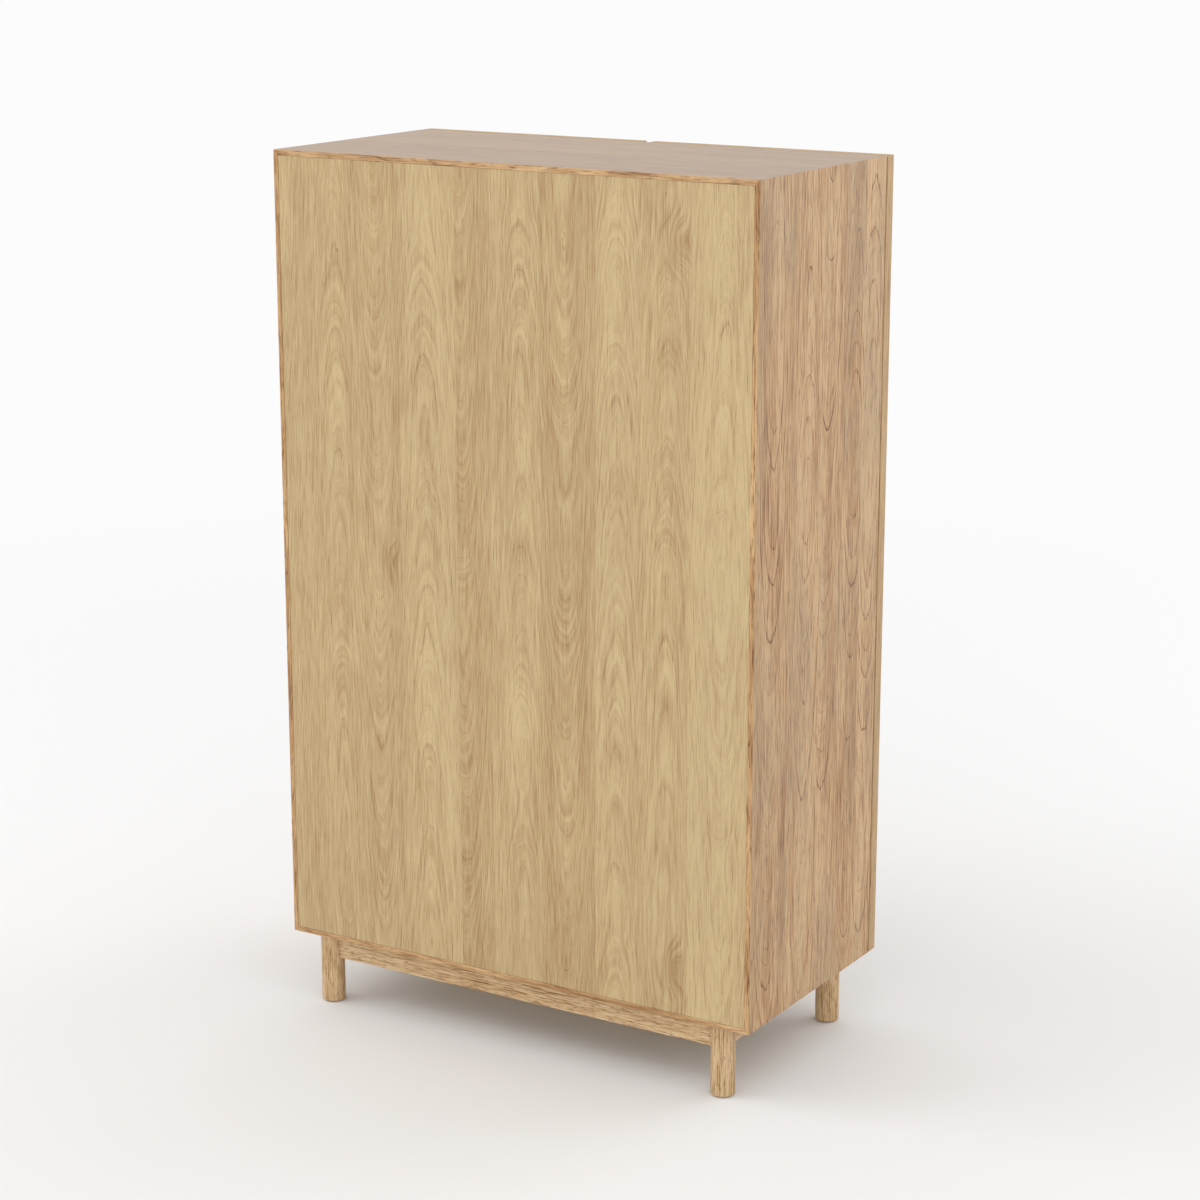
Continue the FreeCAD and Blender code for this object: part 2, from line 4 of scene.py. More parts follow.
import bmesh
import bpy
from mathutils import Euler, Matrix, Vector


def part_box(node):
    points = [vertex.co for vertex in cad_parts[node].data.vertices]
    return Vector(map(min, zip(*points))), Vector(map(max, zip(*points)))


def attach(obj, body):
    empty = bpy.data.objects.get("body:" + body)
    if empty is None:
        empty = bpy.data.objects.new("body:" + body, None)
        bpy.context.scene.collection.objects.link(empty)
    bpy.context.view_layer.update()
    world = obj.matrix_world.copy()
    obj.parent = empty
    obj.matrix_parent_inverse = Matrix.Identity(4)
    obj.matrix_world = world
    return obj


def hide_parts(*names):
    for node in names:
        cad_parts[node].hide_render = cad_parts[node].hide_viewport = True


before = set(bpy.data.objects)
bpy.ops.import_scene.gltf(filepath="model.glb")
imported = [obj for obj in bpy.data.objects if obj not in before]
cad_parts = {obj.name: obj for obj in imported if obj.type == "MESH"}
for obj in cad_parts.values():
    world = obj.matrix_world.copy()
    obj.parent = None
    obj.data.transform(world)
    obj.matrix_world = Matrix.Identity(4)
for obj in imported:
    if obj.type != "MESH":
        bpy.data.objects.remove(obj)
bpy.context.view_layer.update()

# Oak cabinet with two louvred doors, on round legs. Metres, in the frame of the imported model:
# the doors face -Y, and the photograph looks at the back from +Y.

MM = 0.001
SIDES = ("left", "right")

# Kinds of node that are used often
MATH = "ShaderNodeMath"
VECTOR = "ShaderNodeVectorMath"
NOISE = "ShaderNodeTexNoise"
RAMP = "ShaderNodeValToRGB"
RANGE = "ShaderNodeMapRange"
COMBINE = "ShaderNodeCombineXYZ"
SEPARATE = "ShaderNodeSeparateXYZ"
COORDINATES = "ShaderNodeTexCoord"
SURFACE = "ShaderNodeBsdfPrincipled"
OUTPUT = "ShaderNodeOutputMaterial"

# How a board lies: turns that bring its width to X, its thickness to Y and its grain to Z
UPRIGHT_FACING_BACK = (0.0, 0.0, 0.0)
UPRIGHT_FACING_SIDE = (0.0, 0.0, radians(90))
FLAT_ALONG_WIDTH = (radians(90), 0.0, radians(90))
ON_EDGE_ALONG_WIDTH = (0.0, radians(-90), 0.0)
ON_EDGE_ALONG_DEPTH = (radians(-90), radians(-90), 0.0)

# Wood colours: the palest fibre, the common tone, the darkest band, and the pores
Palette = namedtuple("Palette", "pale middle dark pore")
BACK_OAK = Palette("#cab284", "#ba9e72", "#a38256", "#8e6b3c")
SIDE_OAK = Palette("#cdaa7f", "#b38a5f", "#916139", "#683e1b")
# The top's oak is darker than the sides' oak: painted shade on the top
TOP_OAK_PAINTED_SHADE = Palette("#ac8b68", "#9f8060", "#8e7154", "#7e644b")
EDGE_OAK = Palette("#d2ad7c", "#b78d5e", "#8f6233", "#6b3f12")
# The oak of the legs and rails is paler than the wood itself: painted light, standing in for the light that
# the floor bounces up to them
BASE_OAK_PAINTED_LIGHT = Palette("#dcbf96", "#c8a67a", "#a67e4d", "#7a4f19")
DOOR_OAK = Palette("#c9ab7d", "#b69367", "#9d774a", "#775019")
BEECH = Palette("#dec3a1", "#d3b48c", "#c29f78", "#a17c58")
GREY_OAK = "#a18f6f"

# How a log was cut: the width of its rings and of the dark line that ends each ring, in millimetres; how
# fast the trunk tapers; the depth of the pith and how far it drifts, in millimetres; how much the rings
# crowd at the sides of a leaf; how far they ripple, in millimetres; how coarse the grain is; and how
# strongly each feature of the wood shows
Cut = namedtuple("Cut", """ring_width line taper depth drift crowd ripple grain
                 ring streak fibre patch grey vessel pore""")
CROWN_VENEER = Cut(3.0, 1.3, 0.12, 21.0, 44.0, 0.5, 3.0, 1.0, 0.70, 1.80, 1.40, 0.70, 0.08, 0.20, 0.16)
SIDE_VENEER = Cut(5.2, 2.2, 0.12, 34.0, 26.0, 0.5, 2.2, 1.6, 1.80, 0.70, 1.80, 1.15, 0.36, 0.25, 0.40)
PLAIN_VENEER = Cut(5.0, 1.6, 0.03, 60.0, 10.0, 0.0, 3.0, 1.0, 0.40, 1.50, 1.30, 0.90, 0.10, 0.35, 0.20)
SOLID = Cut(4.6, 1.6, 0.03, 50.0, 20.0, 0.0, 3.0, 1.1, 0.60, 1.00, 1.10, 0.60, 0.10, 0.35, 0.30)
LIPPING = Cut(3.0, 1.2, 0.03, 40.0, 20.0, 0.0, 3.0, 1.3, 0.80, 1.30, 1.30, 1.10, 0.0, 0.50, 0.60)
OPEN_GRAIN = Cut(5.0, 1.6, 0.03, 50.0, 20.0, 0.0, 3.0, 0.9, 0.80, 1.20, 2.80, 0.50, 0.10, 0.50, 0.65)
CLOSE_GRAIN = Cut(3.0, 1.6, 0.02, 60.0, 8.0, 0.0, 3.0, 1.0, 0.20, 0.60, 0.60, 0.40, 0.0, 0.05, 0.35)

# Leaves of veneer, in millimetres from the middle of the panel: where each starts, its tone from pale
# to dark, where its arches stand, the height of its heart, and its own figure. The arches point away
# from the heart: up above it and down below it.
Leaf = namedtuple("Leaf", "start tone arch heart seed")
BACK_LEAVES = (
    Leaf(-392, 0.28, -350, 60, 0.13),
    Leaf(-297, 0.48, -262, -420, 0.71),
    Leaf(-217, 0.42, -180, -700, 0.37),
    Leaf(-147, 0.60, -96, 720, 0.92),
    Leaf(-58, 0.47, -24, -560, 0.61),
    Leaf(25, 0.68, 78, 640, 0.21),
    Leaf(83, 0.40, 141, -900, 0.83),
    Leaf(181, 0.53, 226, 820, 0.47),
    Leaf(273, 0.49, 296, -480, 0.05),
)
SIDE_LEAVES = (
    Leaf(-189, 0.40, -155, 165, 0.31),
    Leaf(-131, 0.62, -105, 185, 0.64),
    Leaf(-68, 0.54, -20, 900, 0.12),
    Leaf(-6, 0.44, 38, 150, 0.88),
    Leaf(80, 0.57, 140, 400, 0.43),
)
TOP_LEAVES = (
    Leaf(-189, 0.50, -400, 0, 0.52),
    Leaf(-95, 0.44, -300, 0, 0.18),
    Leaf(0, 0.56, -250, 0, 0.77),
    Leaf(95, 0.48, 400, 0, 0.34),
)

# Range of heights in which a leaf's heart is coded, in millimetres
HEART_SPAN = 4000.0

# Knots hidden under the veneer, where the rings swell, and a hollow, where they sink: place, half width,
# reach upwards, reach downwards and swell, in millimetres, and how much darker the wood is there
Knot = namedtuple("Knot", "x z width above below swell shade")
BACK_KNOTS = (
    Knot(207, 14, 25, 65, 60, 18.0, 0.45),
    Knot(-277, 505, 25, 65, 60, 18.0, 0.45),
    Knot(-277, -525, 25, 65, 60, 18.0, 0.45),
    Knot(-20, -190, 48, 110, 200, -15.0, -0.18),
)

# Sizes of the patterns of oak, in millimetres. Fibres and pores are drawn about twice as wide
# as they are, because the real ones are too fine to show in a picture of the whole cabinet.
BOARD_STRIDE = (411.0, 173.0, 2930.0)
RADIUS_STRIDE = 97.0
WANDER_SIZE = (70.0, 70.0, 300.0)
WANDER = (12.0, 5.0, 0.0)
DRIFT_LENGTH = 380.0
HEART_ROUND = 200.0
CROWD_REACH = 55.0
SOLID_ARCH = 55.0
RIPPLE_SIZE = (9.0, 9.0, 70.0)
RING_WARP_SIZE = 13.0
RING_WARP = 7.0
STREAK_SIZE = (2.8, 1.0, 120.0)
FIBRE_SIZE = (1.6, 1.6, 45.0)
PORE_SIZE = (1.5, 1.5, 14.0)
PATCH_SIZE = (26.0, 26.0, 320.0)
GREY_SIZE = (110.0, 110.0, 340.0)

# Where in the range of their noise the pores, the vessels and the greyer zones begin and are full
PORE_RANGE = (0.55, 0.70)
VESSEL_RANGE = (0.56, 0.72)
GREY_RANGE = (0.45, 0.60)

# How much the lines of the rings differ in strength, how far they widen where the cut is oblique, how
# strongly the fibres break them, how faint they are at the heart of a leaf and how far from it they
# have come back, in millimetres, their mean darkness, and the darkness that has the colour of the pores
RING_CONTRAST = 1.3
LINE_SPREAD = 0.75
LINE_BREAK = 2.5
PLAIN_LINE = 0.15
PLAIN_REACH = 170.0
LINE_MEAN = 0.12
DARKEST = 1.6

# Tone of the palest slat, and how much darker the darkest one is
SLAT_TONE = 0.32
SLAT_TONE_RISE = 0.36

# Matt lacquer: its least roughness, how much coarse fibre adds, the relief of the grain, and a thin coat
LACQUER_ROUGHNESS = 0.40
FIBRE_ROUGHNESS = 0.16
GRAIN_RELIEF = 0.3 * MM
GRAIN_BUMP = 0.15
WOOD_IOR = 1.5
COAT_ROUGHNESS = 0.25
TOP_COAT = 0.25

# How deep a panel's edge shows its lipping
LIPPING_SEEN = 1.0 * MM

# Seeds that give each board its own piece of wood: the first, and the steps from side to side and from
# piece to piece
Seeds = namedtuple("Seeds", "first side piece")
SIDE_SEEDS = Seeds(0.0, 0.37, 0.0)
TOP_SEEDS = Seeds(0.0, 0.0, 0.0)
BOTTOM_SEEDS = Seeds(0.61, 0.0, 0.0)
DIVIDER_SEEDS = Seeds(0.5, 0.0, 0.0)
SHELF_SEEDS = Seeds(0.0, 0.41, 0.19)
LEG_SEEDS = Seeds(0.0, 0.0, 0.17)
LONG_RAIL_SEEDS = Seeds(0.05, 0.0, 0.23)
SHORT_RAIL_SEEDS = Seeds(0.1, 0.29, 0.0)
STILE_SEEDS = Seeds(0.0, 0.31, 0.11)
DOOR_RAIL_SEEDS = Seeds(0.0, 0.37, 0.13)


def linear(colour):
    """Scene-linear RGBA of an sRGB hex colour."""
    channels = [int(colour[i:i + 2], 16) / 255 for i in (1, 3, 5)]
    return [c / 12.92 if c <= 0.04045 else ((c + 0.055) / 1.055) ** 2.4 for c in channels] + [1.0]


def add(tree, kind, inputs=(), stops=(), **settings):
    """Adds a node with its settings. Inputs are values or sockets, by place or by name."""
    node = tree.nodes.new(kind)
    for name, value in settings.items():
        setattr(node, name, value)
    for key, value in inputs.items() if isinstance(inputs, dict) else enumerate(inputs):
        if isinstance(value, bpy.types.NodeSocket):
            tree.links.new(value, node.inputs[key])
        else:
            node.inputs[key].default_value = value
    if stops:
        elements = node.color_ramp.elements
        elements.remove(elements[1])
        elements[0].position, elements[0].color = stops[0]
        for place, colour in stops[1:]:
            elements.new(place).color = colour
    return node


def share(sizes):
    """Scale of a pattern whose features have these sizes."""
    return [1 / size for size in sizes]


def own_seed(seeds, side=0, piece=0):
    """Seed of one board of a set."""
    return seeds.side * side + seeds.piece * piece + seeds.first


# Oak

def oak_figure():
    """Figure of a sawn board at a place on it, in millimetres.

    X is across the board, Y into it and Z along the grain. The growth rings are cones round a pith that
    runs beneath the surface, so they show as stacked arches above the pith and as straight lines beside it.
    """
    tree = bpy.data.node_groups.new("oak_figure", "ShaderNodeTree")
    tree.interface.new_socket("Place", in_out="INPUT", socket_type="NodeSocketVector")
    for name in ("Board", "Arch", "Heart", "Taper", "Depth", "Drift", "Crowd", "Ripple", "Swell",
                 "Ring Width", "Grain"):
        tree.interface.new_socket(name, in_out="INPUT", socket_type="NodeSocketFloat")
    for name in ("To Line", "Ring Tone", "Streak", "Fibre", "Pores", "Patches", "Grey"):
        tree.interface.new_socket(name, in_out="OUTPUT", socket_type="NodeSocketFloat")
    given = add(tree, "NodeGroupInput").outputs
    z = add(tree, SEPARATE, (given["Place"],)).outputs[2]

    # Each board takes its own stretch of the patterns
    stride = add(tree, VECTOR, {0: BOARD_STRIDE, 3: given["Board"]}, operation="SCALE")
    own = add(tree, VECTOR, (given["Place"], stride.outputs[0]), operation="ADD").outputs[0]
    own_z = add(tree, SEPARATE, (own,)).outputs[2]

    # The grain wanders from side to side
    coarse = add(tree, VECTOR, (own, share(WANDER_SIZE)), operation="MULTIPLY").outputs[0]
    wander = add(tree, NOISE, {"Vector": coarse, "Scale": 1.0, "Detail": 2.0}).outputs["Color"]
    wander = add(tree, VECTOR, (wander, (0.5, 0.5, 0.5)), operation="SUBTRACT").outputs[0]
    bent = add(tree, VECTOR, (wander, WANDER, given["Place"]), operation="MULTIPLY_ADD").outputs[0]
    bent_own = add(tree, VECTOR, (wander, WANDER, own), operation="MULTIPLY_ADD").outputs[0]

    # The trunk tapers both ways from the heart, gently near it, and the depth of the pith drifts
    from_heart = add(tree, MATH, (z, given["Heart"]), operation="SUBTRACT").outputs[0]
    from_heart = add(tree, COMBINE, (from_heart, HEART_ROUND, 0.0)).outputs[0]
    from_heart = add(tree, VECTOR, (from_heart,), operation="LENGTH").outputs["Value"]
    growth = add(tree, MATH, (from_heart, given["Taper"], given["Swell"]), operation="MULTIPLY_ADD")
    station = add(tree, MATH, (own_z, 1 / DRIFT_LENGTH), operation="MULTIPLY").outputs[0]
    drift = add(tree, NOISE, {"W": station, "Scale": 1.0, "Detail": 2.0}, noise_dimensions="1D").outputs[0]
    drift = add(tree, MATH, (drift, 0.5), operation="SUBTRACT").outputs[0]
    depth = (drift, given["Drift"], given["Depth"])
    depth = add(tree, MATH, depth, operation="MULTIPLY_ADD").outputs[0]

    # Distance from the pith. Rings crowd at the sides of a leaf, ripple, and have uneven widths.
    across = add(tree, SEPARATE, (bent,)).outputs
    sideways = add(tree, MATH, (across[0], given["Arch"]), operation="SUBTRACT").outputs[0]
    inwards = add(tree, MATH, (across[1], depth), operation="ADD").outputs[0]
    outer = add(tree, MATH, (sideways, 1 / CROWD_REACH), operation="MULTIPLY").outputs[0]
    outer = add(tree, MATH, (outer, outer), operation="MULTIPLY").outputs[0]
    outer = add(tree, MATH, (outer, 1.0), operation="MINIMUM").outputs[0]
    outer = add(tree, MATH, (outer, given["Crowd"]), operation="MULTIPLY").outputs[0]
    crowded = add(tree, MATH, (sideways, outer, sideways), operation="MULTIPLY_ADD").outputs[0]
    spoke = add(tree, COMBINE, (crowded, inwards, 0.0)).outputs[0]
    centred = add(tree, VECTOR, (spoke,), operation="LENGTH").outputs["Value"]
    radius = add(tree, MATH, (centred, growth.outputs[0]), operation="ADD").outputs[0]
    fine = add(tree, VECTOR, (own, share(RIPPLE_SIZE)), operation="MULTIPLY").outputs[0]
    ripple = add(tree, NOISE, {"Vector": fine, "Scale": 1.0, "Detail": 2.0}).outputs[0]
    radius = add(tree, MATH, (ripple, given["Ripple"], radius), operation="MULTIPLY_ADD").outputs[0]
    years = add(tree, MATH, (given["Board"], RADIUS_STRIDE, radius), operation="MULTIPLY_ADD").outputs[0]
    season = add(tree, MATH, (years, 1 / RING_WARP_SIZE), operation="MULTIPLY").outputs[0]
    warp = add(tree, NOISE, {"W": season, "Scale": 1.0, "Detail": 1.0}, noise_dimensions="1D")
    warped = add(tree, MATH, (warp.outputs[0], RING_WARP, radius), operation="MULTIPLY_ADD").outputs[0]
    rings = add(tree, MATH, (warped, given["Ring Width"]), operation="DIVIDE").outputs[0]
    number = add(tree, MATH, (rings, given["Board"]), operation="FLOOR").outputs[0]
    tone = add(tree, "ShaderNodeTexWhiteNoise", {"W": number}, noise_dimensions="1D").outputs["Value"]

    # Distance to the line that ends the ring. Lines widen less than rings do where the cut is oblique.
    inside = add(tree, MATH, (rings,), operation="FRACT").outputs[0]
    inside = add(tree, MATH, (1.0, inside), operation="SUBTRACT").outputs[0]
    inside = add(tree, MATH, (inside, given["Ring Width"]), operation="MULTIPLY").outputs[0]
    slant = add(tree, MATH, (crowded, centred), operation="DIVIDE").outputs[0]
    slant = add(tree, COMBINE, (slant, given["Taper"], 0.0)).outputs[0]
    slant = add(tree, VECTOR, (slant,), operation="LENGTH").outputs["Value"]
    slant = add(tree, MATH, (slant, LINE_SPREAD), operation="POWER").outputs[0]
    to_line = add(tree, MATH, (inside, slant), operation="DIVIDE").outputs[0]

    # Streaks follow the rings, and fibres, pores and patches follow the grain
    layer = add(tree, COMBINE, (years, 0.0, own_z)).outputs[0]
    layer = add(tree, VECTOR, (layer, share(STREAK_SIZE)), operation="MULTIPLY").outputs[0]
    streak = add(tree, NOISE, {"Vector": layer, "Scale": 1.0, "Detail": 3.0, "Roughness": 0.6})
    finer = add(tree, MATH, (1.0, given["Grain"]), operation="DIVIDE").outputs[0]
    grain = add(tree, VECTOR, {0: bent_own, 3: finer}, operation="SCALE").outputs[0]
    thread = add(tree, VECTOR, (grain, share(FIBRE_SIZE)), operation="MULTIPLY").outputs[0]
    fibre = add(tree, NOISE, {"Vector": thread, "Scale": 1.0, "Detail": 2.0, "Roughness": 0.6})
    dash = add(tree, VECTOR, (grain, share(PORE_SIZE)), operation="MULTIPLY").outputs[0]
    speck = add(tree, NOISE, {"Vector": dash, "Scale": 1.0, "Detail": 1.0}).outputs[0]
    pores = {0: speck, 1: PORE_RANGE[0], 2: PORE_RANGE[1], 3: 0.0, 4: 1.0}
    pores = add(tree, RANGE, pores).outputs[0]
    cloud = add(tree, VECTOR, (bent_own, share(PATCH_SIZE)), operation="MULTIPLY").outputs[0]
    patches = add(tree, NOISE, {"Vector": cloud, "Scale": 1.0, "Detail": 2.0}).outputs[0]
    zone = add(tree, VECTOR, (bent_own, share(GREY_SIZE)), operation="MULTIPLY").outputs[0]
    zone = add(tree, NOISE, {"Vector": zone, "Scale": 1.0, "Detail": 3.0}).outputs[0]
    grey = {0: zone, 1: GREY_RANGE[0], 2: GREY_RANGE[1], 3: 0.0, 4: 1.0}
    grey = add(tree, RANGE, grey).outputs[0]

    results = {
        "To Line": to_line,
        "Ring Tone": tone,
        "Streak": streak.outputs[0],
        "Fibre": fibre.outputs[0],
        "Pores": pores,
        "Patches": patches,
        "Grey": grey,
    }
    add(tree, "NodeGroupOutput", results)
    return tree


FIGURE = oak_figure()


def width_across(node, lay):
    """Size of a node across its grain, in millimetres."""
    low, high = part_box(node)
    across = Euler(lay).to_matrix().col[0]
    return sum(abs(step * size) for step, size in zip(across, high - low)) / MM


def oak_face(tree, node, lay, palette, cut, leaves=(), knots=(), seed=0.0, board=None):
    """Colour, roughness and height of an oak face, as sockets. The board's middle is the node's middle."""
    low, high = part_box(node)
    point = add(tree, COORDINATES).outputs["Object"]
    bench = {"Vector": point, "Location": (low + high) / 2, "Rotation": lay, "Scale": (MM, MM, MM)}
    place = add(tree, "ShaderNodeMapping", bench, vector_type="TEXTURE").outputs[0]
    tone, arch, heart, swell, plain = 0.5, SOLID_ARCH, 0.0, 0.0, 1.0
    if leaves:
        width = width_across(node, lay)
        spot = add(tree, SEPARATE, (place,)).outputs
        part = add(tree, MATH, (spot[0], 1 / width, 0.5), operation="MULTIPLY_ADD").outputs[0]
        stops = []
        for leaf in leaves:
            code = (leaf.tone, leaf.arch / width + 0.5, leaf.seed, leaf.heart / HEART_SPAN + 0.5)
            stops.append((max(0.0, leaf.start / width + 0.5), code))
        sheet = add(tree, RAMP, (part,), stops)
        sheet.color_ramp.interpolation = "CONSTANT"
        tone, stand, own = add(tree, "ShaderNodeSeparateColor", (sheet.outputs["Color"],)).outputs
        arch = add(tree, MATH, (stand, width, -width / 2), operation="MULTIPLY_ADD").outputs[0]
        heart = sheet.outputs["Alpha"]
        heart = add(tree, MATH, (heart, HEART_SPAN, -HEART_SPAN / 2), operation="MULTIPLY_ADD").outputs[0]
        plain = add(tree, MATH, (spot[2], heart), operation="SUBTRACT").outputs[0]
        plain = add(tree, MATH, (plain,), operation="ABSOLUTE").outputs[0]
        plain = {0: plain, 1: 0.0, 2: PLAIN_REACH, 3: PLAIN_LINE, 4: 1.0}
        plain = add(tree, RANGE, plain, interpolation_type="SMOOTHSTEP").outputs[0]
        seed = add(tree, MATH, (own, seed), operation="ADD").outputs[0]
    if board:
        seed = add(tree, "ShaderNodeAttribute", attribute_name=board).outputs["Fac"]
        tone = (seed, SLAT_TONE_RISE, SLAT_TONE)
        tone = add(tree, MATH, tone, operation="MULTIPLY_ADD").outputs[0]
    for knot in knots:
        off = add(tree, VECTOR, (place, (knot.x, 0.0, knot.z)), operation="SUBTRACT").outputs[0]
        off = add(tree, SEPARATE, (off,)).outputs
        beside = add(tree, MATH, (off[0], 1 / knot.width), operation="MULTIPLY").outputs[0]
        above = add(tree, MATH, (off[2], 1 / knot.above), operation="MULTIPLY").outputs[0]
        below = add(tree, MATH, (off[2], -1 / knot.below), operation="MULTIPLY").outputs[0]
        beyond = add(tree, MATH, (above, below), operation="MAXIMUM").outputs[0]
        away = add(tree, COMBINE, (beside, beyond, 0.0)).outputs[0]
        away = add(tree, VECTOR, (away,), operation="LENGTH").outputs["Value"]
        bulge = {0: away, 1: 0.0, 2: 1.0, 3: 1.0, 4: 0.0}
        bulge = add(tree, RANGE, bulge, interpolation_type="SMOOTHSTEP").outputs[0]
        swell = add(tree, MATH, (bulge, knot.swell, swell), operation="MULTIPLY_ADD").outputs[0]
        tone = add(tree, MATH, (bulge, knot.shade, tone), operation="MULTIPLY_ADD").outputs[0]
    given = {
        "Place": place,
        "Board": seed,
        "Arch": arch,
        "Heart": heart,
        "Taper": cut.taper,
        "Depth": cut.depth,
        "Drift": cut.drift,
        "Crowd": cut.crowd,
        "Ripple": cut.ripple,
        "Swell": swell,
        "Ring Width": cut.ring_width,
        "Grain": cut.grain,
    }
    shown = add(tree, "ShaderNodeGroup", given, node_tree=FIGURE).outputs

    # Lines of the rings: each has its own strength, fades at the heart and is broken by the fibres
    line = {0: shown["To Line"], 1: 0.0, 2: cut.line, 3: 1.0, 4: 0.0}
    line = add(tree, RANGE, line).outputs[0]
    strong = add(tree, MATH, (shown["Ring Tone"], RING_CONTRAST), operation="POWER").outputs[0]
    line = add(tree, MATH, (line, strong), operation="MULTIPLY").outputs[0]
    line = add(tree, MATH, (line, plain), operation="MULTIPLY").outputs[0]
    broken = add(tree, MATH, (shown["Fibre"], 2.0), operation="MULTIPLY").outputs[0]
    broken = add(tree, MATH, (broken, LINE_BREAK), operation="POWER").outputs[0]
    line = add(tree, MATH, (line, broken), operation="MULTIPLY").outputs[0]

    # Darkness: the tone of the leaf, then patches, streaks, fibres and rings, each about its own middle
    middle = -(cut.patch + cut.streak + cut.fibre) / 2 - cut.ring * LINE_MEAN
    dark = add(tree, MATH, (tone, middle), operation="ADD").outputs[0]
    features = (("Patches", cut.patch), ("Streak", cut.streak), ("Fibre", cut.fibre))
    for name, strength in features:
        dark = add(tree, MATH, (shown[name], strength, dark), operation="MULTIPLY_ADD").outputs[0]
    dark = add(tree, MATH, (line, cut.ring, dark), operation="MULTIPLY_ADD").outputs[0]
    dark = add(tree, MATH, (dark, 1 / DARKEST), operation="MULTIPLY").outputs[0]
    steps = (0.0, 0.5 / DARKEST, 1.0 / DARKEST, 1.0)
    shades = [(step, linear(colour)) for step, colour in zip(steps, palette)]
    wood = add(tree, RAMP, (dark,), shades).outputs[0]

    # Some zones are greyer
    zone = add(tree, MATH, (shown["Grey"], cut.grey), operation="MULTIPLY").outputs[0]
    greyed = {0: zone, 6: wood, 7: linear(GREY_OAK)}
    wood = add(tree, "ShaderNodeMix", greyed, data_type="RGBA").outputs[2]

    # Vessels show as thin dark lines where the fibre is coarsest, and open pores as short dashes
    vessel = {0: shown["Fibre"], 1: VESSEL_RANGE[0], 2: VESSEL_RANGE[1], 3: 0.0, 4: cut.vessel}
    vessel = add(tree, RANGE, vessel).outputs[0]
    open_pores = add(tree, MATH, (shown["Pores"], cut.pore, vessel), operation="MULTIPLY_ADD").outputs[0]
    filled = {0: open_pores, 6: wood, 7: linear(palette.pore)}
    wood = add(tree, "ShaderNodeMix", filled, data_type="RGBA").outputs[2]
    rough = (shown["Fibre"], FIBRE_ROUGHNESS, LACQUER_ROUGHNESS)
    rough = add(tree, MATH, rough, operation="MULTIPLY_ADD").outputs[0]
    height = add(tree, MATH, (shown["Fibre"], open_pores), operation="SUBTRACT").outputs[0]
    return wood, rough, height


def new_material(name):
    """Empty node material, and its tree."""
    material = bpy.data.materials.new(name)
    material.use_nodes = True
    material.node_tree.nodes.clear()
    return material, material.node_tree


def lacquered(tree, colour, rough, height, coat=0.0):
    """Matt lacquer over open-pored wood: only a soft sheen. A coat on it turns pale at a low angle."""
    bump = {"Strength": GRAIN_BUMP, "Distance": GRAIN_RELIEF, "Height": height}
    bump = add(tree, "ShaderNodeBump", bump).outputs[0]
    surface = {
        "Base Color": colour,
        "Roughness": rough,
        "IOR": WOOD_IOR,
        "Normal": bump,
        "Coat Weight": coat,
        "Coat Roughness": COAT_ROUGHNESS,
        "Coat IOR": WOOD_IOR,
    }
    add(tree, OUTPUT, (add(tree, SURFACE, surface).outputs[0],))


def oak(name, node, lay, palette, cut, **figure):
    """Oak of one board or one veneered face."""
    material, tree = new_material(name)
    lacquered(tree, *oak_face(tree, node, lay, palette, cut, **figure))
    return material


def lipped_oak(name, node, lay, edge_lay, palette, cut, coat=0.0, **figure):
    """Veneered panel with solid lippings: its edges are warmer and their grain follows the edge."""
    low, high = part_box(node)
    material, tree = new_material(name)
    face = oak_face(tree, node, lay, palette, cut, **figure)
    edge = oak_face(tree, node, edge_lay, EDGE_OAK, LIPPING, seed=figure["seed"])
    point = add(tree, COORDINATES).outputs["Object"]
    y = add(tree, SEPARATE, (point,)).outputs[1]
    inset = add(tree, MATH, (y, (low.y + high.y) / 2), operation="SUBTRACT").outputs[0]
    inset = add(tree, MATH, (inset,), operation="ABSOLUTE").outputs[0]
    reach = (high.y - low.y) / 2 - LIPPING_SEEN
    at_edge = add(tree, MATH, (inset, reach), operation="GREATER_THAN").outputs[0]
    wood = add(tree, "ShaderNodeMix", {0: at_edge, 6: face[0], 7: edge[0]}, data_type="RGBA").outputs[2]
    rough = add(tree, "ShaderNodeMix", {0: at_edge, 2: face[1], 3: edge[1]}).outputs[0]
    height = add(tree, "ShaderNodeMix", {0: at_edge, 2: face[2], 3: edge[2]}).outputs[0]
    lacquered(tree, wood, rough, height, coat)
    return material


def dress(node, material):
    """Gives a node its finish."""
    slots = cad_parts[node].data.materials
    slots.clear()
    slots.append(material)


